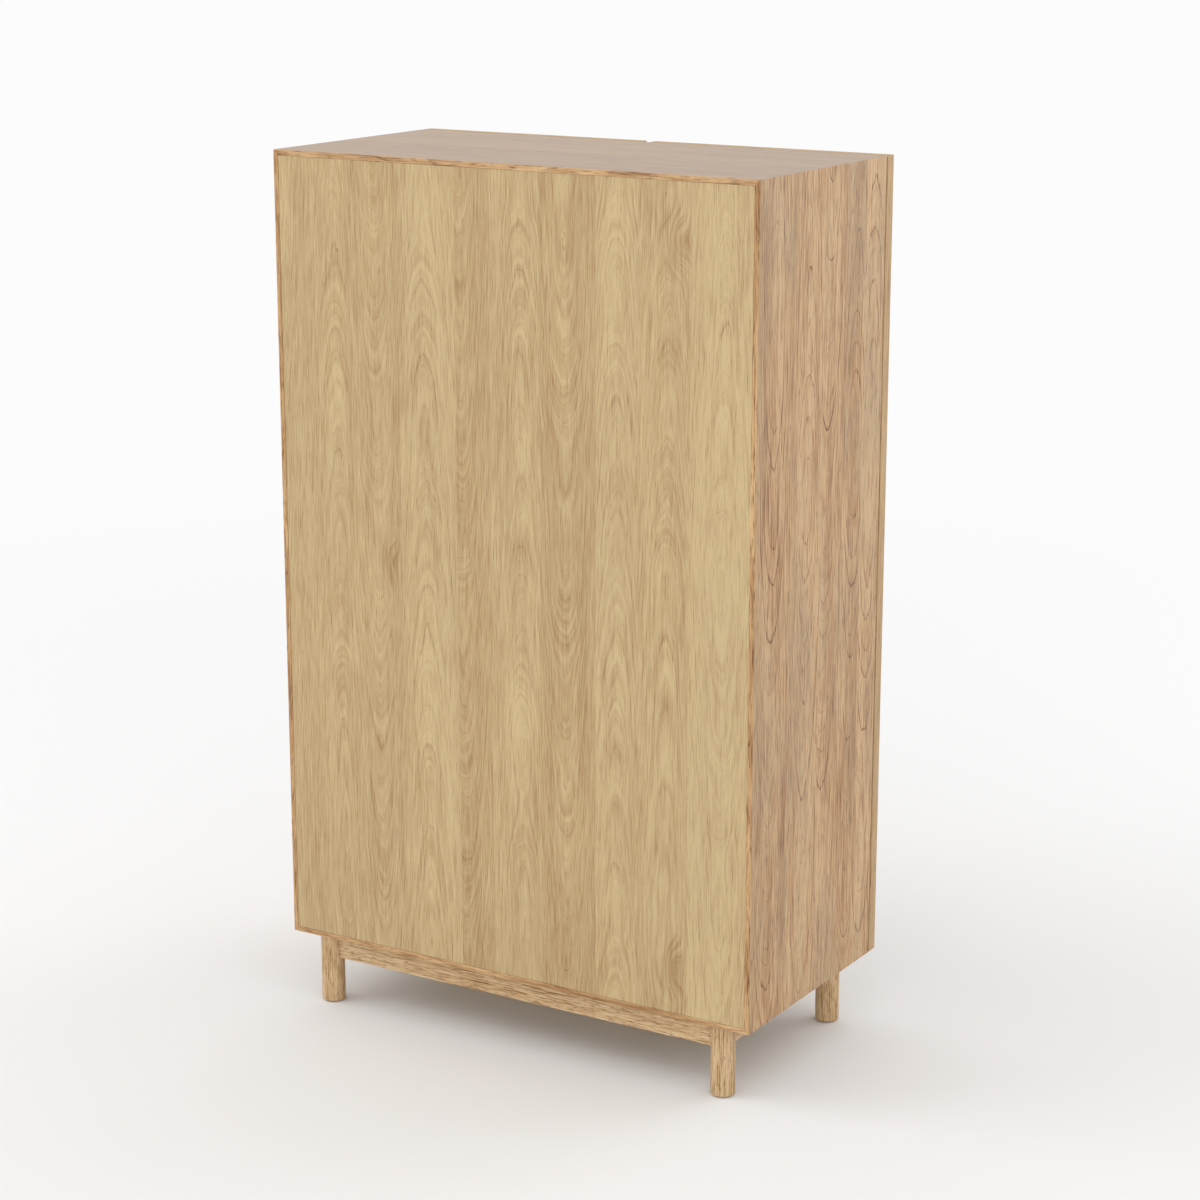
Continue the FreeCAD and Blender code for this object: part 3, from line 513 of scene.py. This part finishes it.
def dress_carcase():
    """Veneered panels, divider and shelves."""
    back = oak("crown_oak_back", "back_panel", UPRIGHT_FACING_BACK, BACK_OAK, CROWN_VENEER,
               leaves=BACK_LEAVES, knots=BACK_KNOTS)
    dress("back_panel", back)
    for i, side in enumerate(SIDES):
        name = side + "_side_panel"
        dress(name, lipped_oak("oak_" + name, name, UPRIGHT_FACING_SIDE, UPRIGHT_FACING_BACK, SIDE_OAK,
                               SIDE_VENEER, leaves=SIDE_LEAVES, seed=own_seed(SIDE_SEEDS, i)))
    # The top takes the darkened oak, which is painted shade
    top = lipped_oak("oak_top_panel", "top_panel", FLAT_ALONG_WIDTH, ON_EDGE_ALONG_WIDTH, TOP_OAK_PAINTED_SHADE,
                     PLAIN_VENEER, coat=TOP_COAT, leaves=TOP_LEAVES, seed=own_seed(TOP_SEEDS))
    dress("top_panel", top)
    bottom = lipped_oak("oak_bottom_panel", "bottom_panel", FLAT_ALONG_WIDTH, ON_EDGE_ALONG_WIDTH,
                        BACK_OAK, PLAIN_VENEER, leaves=TOP_LEAVES, seed=own_seed(BOTTOM_SEEDS))
    dress("bottom_panel", bottom)
    divider = oak("oak_centre_divider", "centre_divider", UPRIGHT_FACING_SIDE, BACK_OAK, CROWN_VENEER,
                  leaves=SIDE_LEAVES, seed=own_seed(DIVIDER_SEEDS))
    dress("centre_divider", divider)
    for i, side in enumerate(SIDES):
        for j, level in enumerate(("lower", "middle", "upper")):
            name = side + "_shelf_" + level
            dress(name, oak("oak_" + name, name, FLAT_ALONG_WIDTH, BACK_OAK, PLAIN_VENEER,
                            leaves=TOP_LEAVES, seed=own_seed(SHELF_SEEDS, i, j)))


def dress_base():
    """Legs and the rails between them, of solid oak."""
    # Their oak is made paler with painted light
    for i, end in enumerate(("front_left", "front_right", "back_left", "back_right")):
        name = "leg_" + end
        dress(name, oak("oak_" + name, name, UPRIGHT_FACING_BACK, BASE_OAK_PAINTED_LIGHT, OPEN_GRAIN,
                        seed=own_seed(LEG_SEEDS, piece=i)))
    for i, name in enumerate(("back_rail", "front_rail")):
        dress(name, oak("oak_" + name, name, ON_EDGE_ALONG_WIDTH, BASE_OAK_PAINTED_LIGHT, OPEN_GRAIN,
                        seed=own_seed(LONG_RAIL_SEEDS, piece=i)))
    for i, side in enumerate(SIDES):
        name = side + "_rail"
        dress(name, oak("oak_" + name, name, ON_EDGE_ALONG_DEPTH, BASE_OAK_PAINTED_LIGHT, OPEN_GRAIN,
                        seed=own_seed(SHORT_RAIL_SEEDS, i)))


def dress_doors():
    """Stiles and rails of the doors, of solid oak."""
    for i, side in enumerate(SIDES):
        for j, piece in enumerate(("hinge_stile", "meeting_stile")):
            name = side + "_" + piece
            dress(name, oak("oak_" + name, name, UPRIGHT_FACING_BACK, DOOR_OAK, SOLID,
                            seed=own_seed(STILE_SEEDS, i, j)))
        for j, piece in enumerate(("bottom_rail", "top_rail")):
            name = side + "_" + piece
            dress(name, oak("oak_" + name, name, ON_EDGE_ALONG_WIDTH, DOOR_OAK, SOLID,
                            seed=own_seed(DOOR_RAIL_SEEDS, i, j)))


# Metal and plastic: sizes of the lines from the press, of cloudy tones and of fine grain

PRESS_LINES = (9 * MM, 9 * MM, 0.5 * MM)
NICKEL_CLOUD = 14 * MM
ZINC_BLOOM = 3 * MM
MOULD_GRAIN = 0.8 * MM
NYLON_CLOUD = 12 * MM
BUFFER_HAZE = 2 * MM
FINE_RELIEF = 0.05 * MM
NYLON_IOR = 1.53
BUFFER_IOR = 1.49


def nickel_plated_steel():
    """Pressed steel with a nickel plate: warm pale metal, soft reflections, faint lines from the press."""
    material, tree = new_material("nickel_plated_steel")
    point = add(tree, COORDINATES).outputs["Object"]
    drawn = add(tree, VECTOR, (point, share(PRESS_LINES)), operation="MULTIPLY").outputs[0]
    lines = add(tree, NOISE, {"Vector": drawn, "Scale": 1.0, "Detail": 2.0}).outputs[0]
    cloud = add(tree, NOISE, {"Vector": point, "Scale": 1 / NICKEL_CLOUD, "Detail": 2.0}).outputs[0]
    tint = add(tree, RAMP, (cloud,), ((0.3, linear("#b3aea4")), (0.7, linear("#c6c1b6"))))
    rough = add(tree, MATH, (lines, 0.16, 0.20), operation="MULTIPLY_ADD").outputs[0]
    bump = {"Strength": 0.1, "Distance": FINE_RELIEF, "Height": lines}
    bump = add(tree, "ShaderNodeBump", bump).outputs[0]
    surface = {"Base Color": tint.outputs[0], "Metallic": 1.0, "Roughness": rough, "Normal": bump}
    add(tree, OUTPUT, (add(tree, SURFACE, surface).outputs[0],))
    return material


def zinc_plated_steel():
    """Zinc-plated screws: grey metal with a dull, slightly yellow bloom from the passivating bath."""
    material, tree = new_material("zinc_plated_steel")
    point = add(tree, COORDINATES).outputs["Object"]
    bloom = add(tree, NOISE, {"Vector": point, "Scale": 1 / ZINC_BLOOM, "Detail": 3.0}).outputs[0]
    tint = add(tree, RAMP, (bloom,), ((0.35, linear("#a9a69c")), (0.65, linear("#b5ad98"))))
    rough = add(tree, MATH, (bloom, 0.3, 0.22), operation="MULTIPLY_ADD").outputs[0]
    surface = {"Base Color": tint.outputs[0], "Metallic": 1.0, "Roughness": rough}
    add(tree, OUTPUT, (add(tree, SURFACE, surface).outputs[0],))
    return material


def moulded_nylon():
    """Moulded nylon of the floor glides: milky white, satin, with a faint grain from the mould."""
    material, tree = new_material("moulded_nylon")
    point = add(tree, COORDINATES).outputs["Object"]
    grain = add(tree, NOISE, {"Vector": point, "Scale": 1 / MOULD_GRAIN, "Detail": 2.0}).outputs[0]
    cloud = add(tree, NOISE, {"Vector": point, "Scale": 1 / NYLON_CLOUD, "Detail": 1.0}).outputs[0]
    tint = add(tree, RAMP, (cloud,), ((0.3, linear("#dedad1")), (0.7, linear("#e8e5de"))))
    rough = add(tree, MATH, (grain, 0.2, 0.36), operation="MULTIPLY_ADD").outputs[0]
    bump = {"Strength": 0.2, "Distance": FINE_RELIEF, "Height": grain}
    bump = add(tree, "ShaderNodeBump", bump).outputs[0]
    surface = {"Base Color": tint.outputs[0], "Roughness": rough, "IOR": NYLON_IOR, "Normal": bump}
    add(tree, OUTPUT, (add(tree, SURFACE, surface).outputs[0],))
    return material


def clear_polyurethane():
    """Clear soft buffer: see-through with a slight haze, and a smooth moulded top."""
    material, tree = new_material("clear_polyurethane")
    point = add(tree, COORDINATES).outputs["Object"]
    haze = add(tree, NOISE, {"Vector": point, "Scale": 1 / BUFFER_HAZE, "Detail": 2.0}).outputs[0]
    tint = add(tree, RAMP, (haze,), ((0.3, linear("#e3e1d9")), (0.7, linear("#f0efea"))))
    rough = add(tree, MATH, (haze, 0.2, 0.06), operation="MULTIPLY_ADD").outputs[0]
    surface = {
        "Base Color": tint.outputs[0],
        "Roughness": rough,
        "IOR": BUFFER_IOR,
        "Transmission Weight": 0.85,
    }
    add(tree, OUTPUT, (add(tree, SURFACE, surface).outputs[0],))
    return material


def dress_fittings():
    """Hinges, buffers, pins, glides, and the tongues and dowels inside the joints."""
    nickel = nickel_plated_steel()
    buffer_plastic = clear_polyurethane()
    for side in SIDES:
        for piece in ("hinge_cups", "hinge_pins", "hinge_arms", "hinge_plates"):
            dress(side + "_" + piece, nickel)
        dress(side + "_buffers", buffer_plastic)
    dress("shelf_pins", nickel)
    dress("leg_glides", moulded_nylon())
    for name in ("mitre_splines", "divider_dowels"):
        dress(name, oak("steamed_beech_" + name, name, UPRIGHT_FACING_SIDE, BEECH, CLOSE_GRAIN))


# What repeats: slats and screws

# Bend from which an edge stays sharp, and distances within which corners are one: in a slat, in a solid
SHARP_EDGE = radians(32)
MERGED = 0.01 * MM
WELDED = 0.001 * MM

# Slats: sizes as in the doors' solids, the share of the thickness that rounds an edge (just under half,
# so that the two rounds don't meet in one point), and the steps of a round
SLATS = 40
SLAT_CHORD = 30.0 * MM
SLAT_THICKNESS = 6.0 * MM
SLAT_LEAN = radians(62)
EDGE_ROUND = 0.4999
EDGE_STEPS = 5
SLAT_SEED = 11

# Screws: how much the head narrows at its top and how late, the slots as shares of its radius, and the
# facets of head and shank
DOME = 0.42
DOME_POWER = 2.4
SLOT_LENGTH = 1.05
SLOT_WIDTH = 0.26
HEAD_SIDES = 28
HEAD_STEPS = 4
SHANK_SIDES = 16
SCREW_SEED = 31

# What counts as a screw's rim and what as its shank, as shares of its largest radius
RIM = 0.99
CORE = 0.2


def new_rule(name, numbers, counts):
    """Empty rule for a repeated piece, with named inputs. Returns its tree and its inputs."""
    tree = bpy.data.node_groups.new(name, "GeometryNodeTree")
    tree.interface.new_socket("Geometry", in_out="INPUT", socket_type="NodeSocketGeometry")
    for label in numbers:
        tree.interface.new_socket(label, in_out="INPUT", socket_type="NodeSocketFloat")
    for label in counts:
        tree.interface.new_socket(label, in_out="INPUT", socket_type="NodeSocketInt")
    tree.interface.new_socket("Finish", in_out="INPUT", socket_type="NodeSocketMaterial")
    tree.interface.new_socket("Geometry", in_out="OUTPUT", socket_type="NodeSocketGeometry")
    return tree, add(tree, "NodeGroupInput").outputs


def end_rule(tree, instances, finish):
    """Turns instances into one mesh with its finish, smooth except at its sharp edges."""
    solid = add(tree, "GeometryNodeRealizeInstances", (instances,)).outputs[0]
    bend = add(tree, "GeometryNodeInputMeshEdgeAngle").outputs[0]
    sharp = add(tree, "FunctionNodeCompare", (bend, SHARP_EDGE), operation="GREATER_THAN").outputs[0]
    solid = add(tree, "GeometryNodeSetShadeSmooth", {0: solid, 1: sharp, 2: False}, domain="EDGE")
    solid = {"Geometry": solid.outputs[0], "Material": finish}
    add(tree, "NodeGroupOutput", (add(tree, "GeometryNodeSetMaterial", solid).outputs[0],))
    return tree


def louvre_rule():
    """Slats with round edges, one above the other, each leaning the same way and with its own figure."""
    sizes = ("Length", "Chord", "Thickness", "Pitch", "Lean", "Middle X", "Middle Y", "First Z")
    tree, given = new_rule("louvre_slats", sizes, ("Count", "Seed"))
    start = add(tree, COMBINE, (given["Middle X"], given["Middle Y"], given["First Z"])).outputs[0]
    step = add(tree, COMBINE, {2: given["Pitch"]}).outputs[0]
    ladder = {"Count": given["Count"], "Start Location": start, "Offset": step}
    ladder = add(tree, "GeometryNodeMeshLine", ladder, mode="OFFSET").outputs[0]
    half = add(tree, MATH, (given["Length"], 0.5), operation="MULTIPLY").outputs[0]
    less = add(tree, MATH, (given["Length"], -0.5), operation="MULTIPLY").outputs[0]
    far = add(tree, COMBINE, {0: half}).outputs[0]
    near = add(tree, COMBINE, {0: less}).outputs[0]
    run = add(tree, "GeometryNodeCurvePrimitiveLine", {"Start": near, "End": far}).outputs[0]
    run = add(tree, "GeometryNodeSetCurveNormal", {0: run}, mode="Z_UP").outputs[0]
    section = {"Width": given["Chord"], "Height": given["Thickness"]}
    section = add(tree, "GeometryNodeCurvePrimitiveQuadrilateral", section).outputs[0]
    round_edge = add(tree, MATH, (given["Thickness"], EDGE_ROUND), operation="MULTIPLY").outputs[0]
    section = {"Curve": section, "Count": EDGE_STEPS, "Radius": round_edge}
    section = add(tree, "GeometryNodeFilletCurve", section, mode="POLY").outputs[0]
    slat = {"Curve": run, "Profile Curve": section, "Fill Caps": True}
    slat = add(tree, "GeometryNodeCurveToMesh", slat).outputs[0]
    slat = add(tree, "GeometryNodeMergeByDistance", {0: slat, "Distance": MERGED}).outputs[0]
    lean = add(tree, COMBINE, {0: given["Lean"]}).outputs[0]
    lean = add(tree, "FunctionNodeEulerToRotation", (lean,)).outputs[0]
    slats = {"Points": ladder, "Instance": slat, "Rotation": lean}
    slats = add(tree, "GeometryNodeInstanceOnPoints", slats).outputs[0]
    count = add(tree, "GeometryNodeInputIndex").outputs[0]
    own = add(tree, "FunctionNodeRandomValue", {2: 0.0, 3: 1.0, "ID": count, "Seed": given["Seed"]})
    slats = {"Geometry": slats, "Name": "slat", "Value": own.outputs[1]}
    slats = add(tree, "GeometryNodeStoreNamedAttribute", slats, data_type="FLOAT", domain="INSTANCE")
    return end_rule(tree, slats.outputs[0], given["Finish"])


def screw_rule():
    """Screws with a domed head and a cross recess, each on its seat and turned at random about itself."""
    sizes = ("Head Radius", "Head Height", "Shank Radius", "Shank Length")
    tree, given = new_rule("cross_head_screws", sizes, ("Seed",))
    head = {"Vertices": HEAD_SIDES, "Side Segments": HEAD_STEPS, "Radius": given["Head Radius"]}
    head = add(tree, "GeometryNodeMeshCylinder", {**head, "Depth": given["Head Height"]}).outputs[0]
    up = add(tree, MATH, (given["Head Height"], 0.5), operation="MULTIPLY").outputs[0]
    up = add(tree, COMBINE, {2: up}).outputs[0]
    head = add(tree, "GeometryNodeTransform", {"Geometry": head, "Translation": up}).outputs[0]

    # The head narrows towards its top along a dome
    spot = add(tree, "GeometryNodeInputPosition").outputs[0]
    level = add(tree, SEPARATE, (spot,)).outputs[2]
    level = add(tree, MATH, (level, given["Head Height"]), operation="DIVIDE").outputs[0]
    level = add(tree, MATH, (level, DOME_POWER), operation="POWER").outputs[0]
    spread = add(tree, MATH, (level, -DOME, 1.0), operation="MULTIPLY_ADD").outputs[0]
    spread = add(tree, COMBINE, {0: spread, 1: spread, 2: 1.0}).outputs[0]
    domed = add(tree, VECTOR, (spot, spread), operation="MULTIPLY").outputs[0]
    head = add(tree, "GeometryNodeSetPosition", {"Geometry": head, "Position": domed}).outputs[0]

    # Two crossed slots are cut into it
    long_side = add(tree, MATH, (given["Head Radius"], SLOT_LENGTH), operation="MULTIPLY").outputs[0]
    short_side = add(tree, MATH, (given["Head Radius"], SLOT_WIDTH), operation="MULTIPLY").outputs[0]
    top = add(tree, COMBINE, {2: given["Head Height"]}).outputs[0]
    bars = []
    for x, y in ((long_side, short_side), (short_side, long_side)):
        bar = add(tree, COMBINE, (x, y, given["Head Height"])).outputs[0]
        bar = add(tree, "GeometryNodeMeshCube", {"Size": bar}).outputs[0]
        bars.append(add(tree, "GeometryNodeTransform", {"Geometry": bar, "Translation": top}).outputs[0])
    recess = {"Mesh 1": head, "Mesh 2": bars[0]}
    recess = add(tree, "GeometryNodeMeshBoolean", recess, operation="DIFFERENCE", solver="EXACT")
    tree.links.new(bars[1], recess.inputs["Mesh 2"])

    shank = {"Vertices": SHANK_SIDES, "Radius": given["Shank Radius"], "Depth": given["Shank Length"]}
    shank = add(tree, "GeometryNodeMeshCylinder", shank).outputs[0]
    down = add(tree, MATH, (given["Shank Length"], -0.5), operation="MULTIPLY").outputs[0]
    down = add(tree, COMBINE, {2: down}).outputs[0]
    shank = add(tree, "GeometryNodeTransform", {"Geometry": shank, "Translation": down}).outputs[0]
    screw = add(tree, "GeometryNodeJoinGeometry", (recess.outputs[0],))
    tree.links.new(shank, screw.inputs[0])

    facing = add(tree, "GeometryNodeInputNamedAttribute", {"Name": "facing"}, data_type="FLOAT_VECTOR")
    stand = {"Vector": facing.outputs[0]}
    stand = add(tree, "FunctionNodeAlignRotationToVector", stand, axis="Z").outputs[0]
    screws = {"Points": given["Geometry"], "Instance": screw.outputs[0], "Rotation": stand}
    screws = add(tree, "GeometryNodeInstanceOnPoints", screws).outputs[0]
    count = add(tree, "GeometryNodeInputIndex").outputs[0]
    spin = add(tree, "FunctionNodeRandomValue", {2: 0.0, 3: pi / 2, "ID": count, "Seed": given["Seed"]})
    spin = add(tree, COMBINE, {2: spin.outputs[1]}).outputs[0]
    spin = add(tree, "FunctionNodeEulerToRotation", (spin,)).outputs[0]
    screws = add(tree, "GeometryNodeRotateInstances", {"Instances": screws, "Rotation": spin}).outputs[0]
    return end_rule(tree, screws, given["Finish"])


def grown(name, rule, sizes, points=(), facings=()):
    """Piece made by a rule from its sizes, as a plain mesh."""
    mesh = bpy.data.meshes.new(name)
    mesh.from_pydata(points, [], [])
    if facings:
        mesh.attributes.new("facing", "FLOAT_VECTOR", "POINT")
        for row, facing in zip(mesh.attributes["facing"].data, facings):
            row.vector = facing
    piece = bpy.data.objects.new(name, mesh)
    bpy.context.scene.collection.objects.link(piece)
    modifier = piece.modifiers.new(name, "NODES")
    modifier.node_group = rule
    for item in rule.interface.items_tree:
        if item.in_out == "INPUT" and item.name in sizes:
            modifier[item.identifier] = sizes[item.name]
    made = piece.evaluated_get(bpy.context.evaluated_depsgraph_get())
    finished = bpy.data.meshes.new_from_object(made)
    finished.materials.clear()
    finished.materials.append(sizes["Finish"])
    piece.modifiers.clear()
    piece.data = finished
    return piece


def louvres():
    """The slats of both doors. They lean so that their front edges are low."""
    rule = louvre_rule()
    rise = (SLAT_CHORD - SLAT_THICKNESS) / 2 * sin(SLAT_LEAN) + SLAT_THICKNESS / 2
    for number, side in enumerate(SIDES):
        node = side + "_louvres"
        low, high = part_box(node)
        sizes = {
            "Length": high.x - low.x,
            "Chord": SLAT_CHORD,
            "Thickness": SLAT_THICKNESS,
            "Pitch": (high.z - low.z - 2 * rise) / (SLATS - 1),
            "Lean": SLAT_LEAN,
            "Middle X": (low.x + high.x) / 2,
            "Middle Y": (low.y + high.y) / 2,
            "First Z": low.z + rise,
            "Count": SLATS,
            "Seed": SLAT_SEED + number,
            "Finish": oak("oak_" + node, node, ON_EDGE_ALONG_WIDTH, DOOR_OAK, SOLID, board="slat"),
        }
        slats = grown(side + "_slats", rule, sizes)
        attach(slats, side + "_door")
        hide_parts(node)


# A screw's seat: where its head sits, which way it faces, and its sizes
Seat = namedtuple("Seat", "place facing head_radius head_height shank_radius shank_length")


def islands(mesh):
    """Places of the corners of each separate solid in a mesh of loose triangles."""
    solids = bmesh.new()
    solids.from_mesh(mesh)
    bmesh.ops.remove_doubles(solids, verts=solids.verts, dist=WELDED)
    left = set(solids.verts)
    found = []
    while left:
        front = [left.pop()]
        island = []
        while front:
            corner = front.pop()
            island.append(corner.co.copy())
            for edge in corner.link_edges:
                other = edge.other_vert(corner)
                if other in left:
                    left.remove(other)
                    front.append(other)
        found.append(island)
    solids.free()
    return found


def screw_seat(corners, along):
    """Where a screw's head sits, which way it faces and its sizes, read from its solid along its axis."""
    low = Vector([min(c[i] for c in corners) for i in range(3)])
    high = Vector([max(c[i] for c in corners) for i in range(3)])
    middle = (low + high) / 2
    reach = [((c - middle) - along * (c - middle).dot(along)).length for c in corners]
    widest = max(reach)
    rim = [(c - middle).dot(along) for c, r in zip(corners, reach) if r > widest * RIM]
    rim = sum(rim) / len(rim)
    facing = along if rim > 0 else -along
    half = (high - low).dot(along) / 2
    narrow = min(r for r in reach if r > widest * CORE)
    return Seat(middle + along * rim, facing, widest, half - abs(rim), narrow, half + abs(rim))


def screws():
    """Cross-head screws on every seat of the screw nodes."""
    rule = screw_rule()
    zinc = zinc_plated_steel()
    homes = (
        ("left_cup_screws", "left_door", Vector((0, 1, 0))),
        ("right_cup_screws", "right_door", Vector((0, 1, 0))),
        ("plate_screws", "carcase", Vector((1, 0, 0))),
        ("arm_screws", "carcase", Vector((1, 0, 0))),
        ("base_screws", "carcase", Vector((0, 0, 1))),
    )
    for number, (node, body, along) in enumerate(homes):
        seats = [screw_seat(corners, along) for corners in islands(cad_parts[node].data)]
        seats.sort(key=lambda seat: tuple(round(v, 5) for v in seat.place))
        sizes = {
            "Head Radius": seats[0].head_radius,
            "Head Height": seats[0].head_height,
            "Shank Radius": seats[0].shank_radius,
            "Shank Length": seats[0].shank_length,
            "Seed": SCREW_SEED + number,
            "Finish": zinc,
        }
        places = [seat.place for seat in seats]
        facings = [seat.facing for seat in seats]
        piece = grown(node.replace("screws", "cross_head_screws"), rule, sizes, places, facings)
        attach(piece, body)
        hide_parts(node)


# Studio: a pale floor that fades into a white surround, and soft light from all sides

FLOOR_COLOUR = "#eeeeee"
SURROUND_WHITE = "#fcfcfc"
FLOOR_REACH = 14.0
FADE_START = 1.0
FADE_END = 4.2
AMBIENT = 0.95

# Lamps, all aimed at the middle of the cabinet: place, size and power
Lamp = namedtuple("Lamp", "name place size power")
LAMPS = (
    Lamp("key", (3.4, 2.2, 3.8), 3.0, 50.0),
    Lamp("low_fill", (-1.4, 4.6, 0.9), 2.0, 22.0),
    Lamp("fill", (-2.8, -3.6, 2.6), 3.0, 40.0),
)
LAMP_AIM = (0.0, 0.0, 0.65)

# Camera of the photograph: place and aim in metres, lens and sensor in millimetres
CAMERA_PLACE = (-2.21, 3.5565, 1.7128)
CAMERA_AIM = (-0.0388, 0.0109, 0.6545)
LENS_LENGTH = 87.0
SENSOR_WIDTH = 36.0


def seen_by_eye(tree):
    """One for what the camera sees, directly, in a reflection or through glass."""
    path = add(tree, "ShaderNodeLightPath").outputs
    seen = add(tree, MATH, (path["Is Camera Ray"], path["Is Glossy Ray"]), operation="MAXIMUM")
    seen = (seen.outputs[0], path["Is Transmission Ray"])
    return add(tree, MATH, seen, operation="MAXIMUM").outputs[0]


def floor():
    """Pale floor that turns into the white of the surround away from the cabinet."""
    half = FLOOR_REACH
    corners = [(-half, -half, 0), (half, -half, 0), (half, half, 0), (-half, half, 0)]
    mesh = bpy.data.meshes.new("floor")
    mesh.from_pydata(corners, [], [(0, 1, 2, 3)])
    plane = bpy.data.objects.new("floor", mesh)
    bpy.context.scene.collection.objects.link(plane)
    material, tree = new_material("pale_floor")
    point = add(tree, COORDINATES).outputs["Object"]
    away = add(tree, VECTOR, (point,), operation="LENGTH").outputs["Value"]
    fade = {0: away, 1: FADE_START, 2: FADE_END, 3: 0.0, 4: 1.0}
    fade = add(tree, RANGE, fade, interpolation_type="SMOOTHSTEP").outputs[0]
    white = add(tree, MATH, (fade, seen_by_eye(tree)), operation="MULTIPLY").outputs[0]
    paint = add(tree, "ShaderNodeBsdfDiffuse", (linear(FLOOR_COLOUR),)).outputs[0]
    glow = add(tree, "ShaderNodeEmission", (linear(SURROUND_WHITE), 1.0)).outputs[0]
    mixed = add(tree, "ShaderNodeMixShader", (white, paint, glow)).outputs[0]
    add(tree, OUTPUT, (mixed,))
    mesh.materials.append(material)


def surround():
    """White to the eye, and a little dimmer as light."""
    world = bpy.data.worlds.new("white_surround")
    world.use_nodes = True
    tree = world.node_tree
    tree.nodes.clear()
    light = add(tree, "ShaderNodeBackground", (linear("#ffffff"), AMBIENT)).outputs[0]
    white = add(tree, "ShaderNodeBackground", (linear(SURROUND_WHITE), 1.0)).outputs[0]
    mixed = add(tree, "ShaderNodeMixShader", (seen_by_eye(tree), light, white)).outputs[0]
    add(tree, "ShaderNodeOutputWorld", (mixed,))
    bpy.context.scene.world = world


def aimed(name, data, place, aim):
    """Object for a lamp or camera that looks from a place towards another."""
    holder = bpy.data.objects.new(name, data)
    holder.location = place
    holder.rotation_euler = (Vector(aim) - Vector(place)).to_track_quat("-Z", "Y").to_euler()
    bpy.context.scene.collection.objects.link(holder)
    return holder


def lights():
    """Large soft lamps."""
    for lamp in LAMPS:
        light = bpy.data.lights.new(lamp.name, "AREA")
        light.shape = "SQUARE"
        light.size = lamp.size
        light.energy = lamp.power
        aimed(lamp.name, light, lamp.place, LAMP_AIM)


def camera():
    """Camera that sees the cabinet as the photograph does."""
    lens = bpy.data.cameras.new("camera")
    lens.sensor_width = SENSOR_WIDTH
    lens.lens = LENS_LENGTH
    bpy.context.scene.camera = aimed("camera", lens, CAMERA_PLACE, CAMERA_AIM)


dress_carcase()
dress_base()
dress_doors()
dress_fittings()
louvres()
screws()

floor()
surround()
lights()
camera()
bpy.context.scene.view_settings.view_transform = "Standard"
